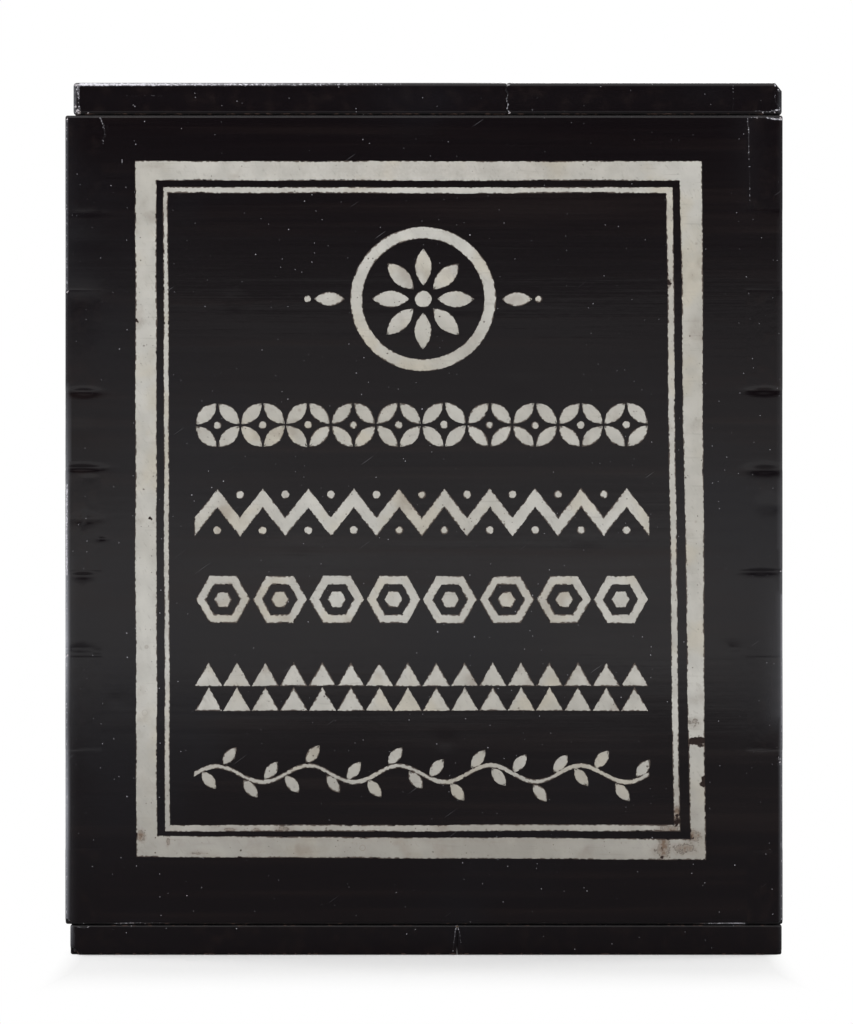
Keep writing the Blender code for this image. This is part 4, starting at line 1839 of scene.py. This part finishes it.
class Ornament:
    """A leaf medallion over five bands of plain traditional pattern, inside a double border."""

    MIDDLE = -0.0012
    HALF_WIDTH = 0.125
    MEDALLION = (-0.0006, 0.3608)
    RING = (0.0400, 0.0335)
    HUB = 0.0046
    PETALS = 8
    PETAL = (0.0205, 0.0092)
    PETAL_REACH = 0.0178
    SIDE_REACH = (0.0515, 0.0635)
    SIDE_LEAF = (0.0170, 0.0078)
    SIDE_DOT = 0.0019
    CIRCLE_DOT = 0.0021
    CIRCLE_REACH = 0.7071
    CIRCLE_LEAF = (1.30, 0.60)
    ZIGZAG_SWING = 0.0080
    ZIGZAG_HEIGHT = 0.0105
    ZIGZAG_DOT = (0.0098, 0.0022)
    HEXAGON = (0.0150, 0.0095)
    HEXAGON_CORE = 0.0050
    TIER_RISE = 0.0068
    TIER_DROP = 0.0020
    TRIANGLE = 0.0087
    STEM_SWING = 0.0045
    STEM_WAVE = 0.050
    STEM_HEIGHT = 0.0026
    VINE_LEAF = (0.0125, 0.0062)
    VINE_SHIFT = (0.0024, 0.0062)
    VINE_LEAN = math.radians(52)
    ROWS = (0.2915, 0.2435, 0.1955, 0.1475, 0.0995)
    BORDER = (
        ((135, 161), (702, 161), (705.5, 860), (136, 857)),
        ((156.5, 180.5), (679.6, 180.5), (690, 839), (157, 836)),
    )
    LINE = (
        ((163, 187), (672.6, 187), (680, 831.5), (165, 831.5)),
        ((168, 193), (666, 193), (673.5, 825), (170, 825)),
    )
    LOSSES = (
        ((697, 741), (13, 4.2), 1.15), ((684, 744), (5, 3.0), 0.95), ((704.5, 782), (4.0, 6.0), 1.15),
        ((690, 838), (9, 1.6), 0.42), ((663, 857), (4, 2.4), 0.42), ((669, 282), (3.0, 3.4), 0.85),
        ((677, 820), (4.2, 6.5), 0.84), ((680, 812), (2.0, 4.0), 0.60), ((664, 848), (2.0, 4.0), 0.46),
        ((693, 829), (4.0, 1.6), 0.46), ((150, 519), (2.0, 2.4), 0.80), ((137, 320), (2.0, 2.0), 0.85),
    )
    # The widest entries, over the top and the foot of the border, darken those bands broadly along their
    # length.
    STAINS = (
        ((664, 847), (4.4, 10.0), 1.30), ((692, 836), (9.0, 4.4), 1.20), ((684, 849), (13.0, 5.0), 0.70),
        ((656, 852), (5.0, 5.0), 0.42), ((670, 829), (11.0, 4.0), 0.80), ((677, 814), (5.0, 8.0), 1.00),
        ((693, 722), (8.0, 4.0), 0.50), ((694, 700), (6.0, 3.6), 0.26), ((693, 725), (8.0, 4.4), 0.30),
        ((691, 812), (6.0, 6.0), 0.16), ((141, 836), (4.0, 5.0), 1.10), ((230, 830), (8.0, 2.5), 0.50),
        ((256, 830), (5.0, 3.0), 0.50), ((283, 829), (9.0, 3.0), 0.55), ((168, 842), (2.0, 5.0), 0.50),
        ((197, 853), (7.0, 2.0), 0.50), ((152, 166), (10.0, 3.6), 0.22), ((424, 838), (190.0, 5.0), 0.16),
        ((668, 283), (3.0, 6.0), 0.60), ((300, 850), (30.0, 4.0), 0.12), ((424, 170), (200.0, 12.0), 0.15),
    )

    def __init__(self, skin: Skin) -> None:
        """Take the front that it is painted on.

        Args:
            skin: The walls' skin.
        """
        losses = tuple(Spot.seen_at(*loss) for loss in self.LOSSES)
        stains = tuple(Spot.seen_at(*stain) for stain in self.STAINS)
        self.film = PaintFilm(skin, losses, stains)

    @property
    def start(self) -> float:
        """The X of the bands' left ends."""
        return self.MIDDLE - self.HALF_WIDTH

    @staticmethod
    def beside(middle: Point, radius: float, turn: float) -> Point:
        """The point at a distance from another, at an angle above the horizontal."""
        return middle[0] + radius * math.cos(turn), middle[1] + radius * math.sin(turn)

    def columns(self, count: int) -> list[float]:
        """The middles of equal cells along a band."""
        cell = 2 * self.HALF_WIDTH / count
        return [self.start + cell * (place + 0.5) for place in range(count)]

    def border(self) -> Stencil:
        """The broad border and the thin line inside it."""
        stencil = Stencil()
        stencil.band(*self.BORDER)
        stencil.band(*self.LINE)
        return stencil

    def medallion(self) -> Stencil:
        """A ring round a rosette of eight leaves, with a leaf at either side."""
        stencil = Stencil()
        across, up = self.MEDALLION
        stencil.ring(self.MEDALLION, *self.RING)
        stencil.polygon(self.MEDALLION, self.HUB, 40)
        for place in range(self.PETALS):
            turn = math.tau * place / self.PETALS
            stencil.leaf(self.beside(self.MEDALLION, self.PETAL_REACH, turn), *self.PETAL, turn)
        for side in (-1, 1):
            stencil.leaf((across + side * self.SIDE_REACH[0], up), *self.SIDE_LEAF, 0.0)
            stencil.polygon((across + side * self.SIDE_REACH[1], up), self.SIDE_DOT)
        return stencil

    def treasures(self, up: float) -> Stencil:
        """Circles that share their quarters, drawn as leaves with a dot between them."""
        stencil = Stencil()
        radius = self.HALF_WIDTH / 10
        length, width = [share * radius for share in self.CIRCLE_LEAF]
        for across in self.columns(10):
            stencil.polygon((across, up), self.CIRCLE_DOT)
            for quarter in range(4):
                turn = math.pi / 4 + math.pi / 2 * quarter
                middle = self.beside((across, up), self.CIRCLE_REACH * radius, turn)
                stencil.leaf(middle, length, width, turn + math.pi / 2)
        return stencil

    def zigzag(self, up: float) -> Stencil:
        """A ribbon that turns up and down, with a dot in every bay."""
        stencil = Stencil()
        step = self.HALF_WIDTH / 10
        stencil.ribbon(
            (self.start, up), 2 * self.HALF_WIDTH, self.ZIGZAG_HEIGHT, 20,
            lambda along: self.ZIGZAG_SWING if round(along / step) % 2 else -self.ZIGZAG_SWING,
        )
        away, radius = self.ZIGZAG_DOT
        for place, across in enumerate(self.columns(20)[:-1]):
            side = -1 if place % 2 else 1
            stencil.polygon((across + step / 2, up - side * away), radius)
        return stencil

    def tortoise(self, up: float) -> Stencil:
        """A chain of hexagons, each round a solid one."""
        stencil = Stencil()
        for across in self.columns(8):
            stencil.ring((across, up), *self.HEXAGON, 6, math.pi / 6)
            stencil.polygon((across, up), self.HEXAGON_CORE, 6, math.pi / 6)
        return stencil

    def scales(self, up: float) -> Stencil:
        """Two tiers of triangles."""
        stencil = Stencil()
        for tier in (-1, 1):
            for across in self.columns(16):
                middle = (across, up + tier * self.TIER_RISE - self.TIER_DROP)
                stencil.polygon(middle, self.TRIANGLE, 3)
        return stencil

    def vine(self, up: float) -> Stencil:
        """A waving stem with leaves on both sides."""
        stencil = Stencil()

        def stem(along: float) -> float:
            """The stem's height above the band's middle line."""
            return self.STEM_SWING * math.sin(math.tau / self.STEM_WAVE * along)

        stencil.ribbon((self.start, up), 2 * self.HALF_WIDTH, self.STEM_HEIGHT, 160, stem)
        right, away = self.VINE_SHIFT
        for place, across in enumerate(self.columns(22)):
            side = 1 if place % 2 else -1
            middle = (across + right, up + stem(across - self.start) + side * away)
            stencil.leaf(middle, *self.VINE_LEAF, side * self.VINE_LEAN)
        return stencil

    def build(self, paint: Material) -> None:
        """Paint the front.

        Args:
            paint: The finish.
        """
        self.film.lay("painted_border", self.border(), paint)
        self.film.lay("painted_medallion", self.medallion(), paint)
        bands = (self.treasures, self.zigzag, self.tortoise, self.scales, self.vine)
        for number, (band, up) in enumerate(zip(bands, self.ROWS), 1):
            self.film.lay(f"painted_band_{number}", band(up), paint)


@dataclass(frozen=True)
class Softbox:
    """A square lamp that points at the chest."""

    name: str
    place: Triple
    aim: Triple
    width: float
    height: float
    power: float

    def hang(self) -> None:
        """Put the lamp in the scene."""
        lamp = bpy.data.lights.new(self.name, "AREA")
        lamp.shape = "RECTANGLE"
        lamp.size = self.width
        lamp.size_y = self.height
        lamp.energy = self.power
        holder = put(self.name, lamp)
        holder.location = self.place
        holder.rotation_euler = (Vector(self.aim) - Vector(self.place)).to_track_quat("-Z", "Y").to_euler()


@dataclass
class Studio:
    """White floor and surround, soft lamps, grey cards for the lacquer to mirror, and the camera."""

    distance: float = 3.0
    sensor: float = 36.0
    floor_radius: float = 8.0
    floor_drop: float = 0.0002
    papers: Triple = (0.42, 0.58, 0.085)
    white_before: tuple[float, ...] = (0.09, 0.25, 0.25, 1.0)
    white_beside: Point = (-0.018, 0.003)
    white_behind: Point = (0.0, 0.10)
    boxes: tuple[Softbox, ...] = (
        Softbox("overhead", (-1.02, -0.5, 2.4), (-0.6, -0.1, 0.4), 2.0, 0.9, 22),
        Softbox("key", (-0.9, -2.0, 2.3), (0, 0, 0.25), 0.9, 0.9, 34),
        Softbox("fill", (1.9, -1.9, 1.7), (0, 0, 0.25), 0.9, 0.9, 14),
        Softbox("left", (-2.4, 0.9, 1.7), (0, 0, 0.25), 0.9, 0.9, 22),
        Softbox("right", (2.4, 0.9, 1.7), (0, 0, 0.25), 0.9, 0.9, 22),
        Softbox("back", (0.5, 2.6, 1.9), (0, 0, 0.25), 0.9, 0.9, 24),
    )
    cards: tuple[Triple, ...] = (
        (-0.020, -0.0106, 0.78), (-0.0106, -0.0033, 0.60), (-0.0033, 0.004, 0.46), (0.004, 0.030, 0.37),
        (0.0368, 0.0388, 0.18), (0.044, 0.058, 0.10), (0.062, 0.070, 0.05), (0.10, 0.15, 0.20),
        (0.15, 0.30, 0.38), (0.30, 0.50, 0.70), (0.50, 0.80, 1.0),
    )
    far_floor: tuple[Triple, ...] = ((2.45, 3.4, 0.26), (3.4, 4.67, 0.50), (4.67, 6.8, 0.72))

    def surround(self) -> None:
        """White to the camera, and grey cards by height to every other ray."""
        world = bpy.data.worlds.new("surround")
        bpy.context.scene.world = world
        graph = Graph(world, "Generated")
        cards = graph.shading("Background", graph.staircase(graph.part("Z"), 0.60, self.cards))
        white = graph.shading("Background", WHITE)
        graph.show(graph.either(graph.ray("Is Camera Ray"), cards, white))

    def whiteness(self, graph: Graph) -> Socket:
        """How far the floor has turned white: slowly before the chest, and fast beside and behind it.

        Args:
            graph: The floor's material.

        Returns:
            The share of white.
        """
        across, deep = graph.part("X"), graph.part("Y")
        half = CAD_BOX[1][0]
        before = graph.math("SUBTRACT", graph.math("MULTIPLY", deep, -1.0), half)
        beside = graph.math("SUBTRACT", graph.math("ABSOLUTE", across), half)
        behind = graph.math("SUBTRACT", deep, half)
        front = graph.rise(before, *self.white_before)
        side = graph.rise(beside, *self.white_beside)
        back = graph.rise(behind, *self.white_behind)
        return graph.math("MAXIMUM", graph.math("MAXIMUM", front, side), back)

    def floor(self) -> None:
        """A pale disc that keeps the chest's shadow near it and is white further out."""
        bm = bmesh.new()
        bmesh.ops.create_circle(bm, cap_ends=True, radius=self.floor_radius, segments=96)
        bmesh.ops.translate(bm, vec=(0, 0, -self.floor_drop), verts=bm.verts)
        mesh = bpy.data.meshes.new("floor")
        bm.to_mesh(mesh)
        bm.free()
        graph = Graph.named("floor_paper")
        away = graph.add("VectorMath", {0: graph.place}, operation="LENGTH").outputs["Value"]
        paper, near, dim = [graph.shading("BsdfDiffuse", (grey, grey, grey)) for grey in self.papers]
        seen = graph.either(self.whiteness(graph), near, graph.shading("Emission", WHITE))
        card = graph.shading("Emission", graph.staircase(away, 0.20, self.far_floor))
        mirrored = graph.either(graph.rise(away, 0.8, 1.8), dim, card)
        shader = graph.either(graph.ray("Is Glossy Ray"), paper, mirrored)
        graph.show(graph.either(graph.ray("Is Camera Ray"), shader, seen))
        mesh.materials.append(graph.owner)
        sheet = put("floor", mesh)

    def camera(self) -> None:
        """Look straight at the front, as the photograph does."""
        lens = bpy.data.cameras.new("photo_view")
        lens.sensor_width = self.sensor
        lens.lens = self.sensor * self.distance / Photo.length(Photo.HEIGHT)
        lens.clip_end = 50.0
        holder = put("photo_view", lens)
        across, up = Photo.point((Photo.WIDTH / 2, Photo.HEIGHT / 2))
        holder.location = (across, CAD_BOX[0][1] - self.distance, up)
        holder.rotation_euler = Euler((math.pi / 2, 0, 0))
        bpy.context.scene.camera = holder

    def build(self) -> None:
        """Set the whole studio up."""
        self.surround()
        self.floor()
        for box in self.boxes:
            box.hang()
        self.camera()
        bpy.context.scene.view_settings.view_transform = "Standard"
        log.info("studio: %d lamps", len(self.boxes))


def main() -> None:
    """Build the chest's looks, piece by piece, then the studio."""
    logging.basicConfig(level=logging.INFO, format="%(message)s", stream=sys.stdout)
    lacquer = Lacquer()
    walls = Walls()
    walls.build(lacquer)
    lid_faces = (*SIDES, Face.TOP)
    PlankPair("lid", "lid", lid_faces, 0.0018, LID_FRONT, 54, front_rubs(0.15, 0.60)).build(lacquer)
    PlankPair("bottom", "body", SIDES, 0.0010, BOTTOM_FRONT, 30, front_rubs(0.28, 0.42)).build(lacquer)
    metal = LiningMetal().material()
    Liner().build(metal)
    wood = BareWood()
    dress_nodes(("lid_lining",), metal)
    dress_nodes(("lid_batten_front", "lid_batten_back"), wood.material(Grain.ACROSS))
    dress_nodes(("lid_batten_left", "lid_batten_right"), wood.material(Grain.DEEP))
    dress_nodes([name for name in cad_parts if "_nail_" in name], Iron().material())
    Ornament(walls.skin).build(SignPaint().material())
    Studio().build()


if __name__ == "__main__":
    main()
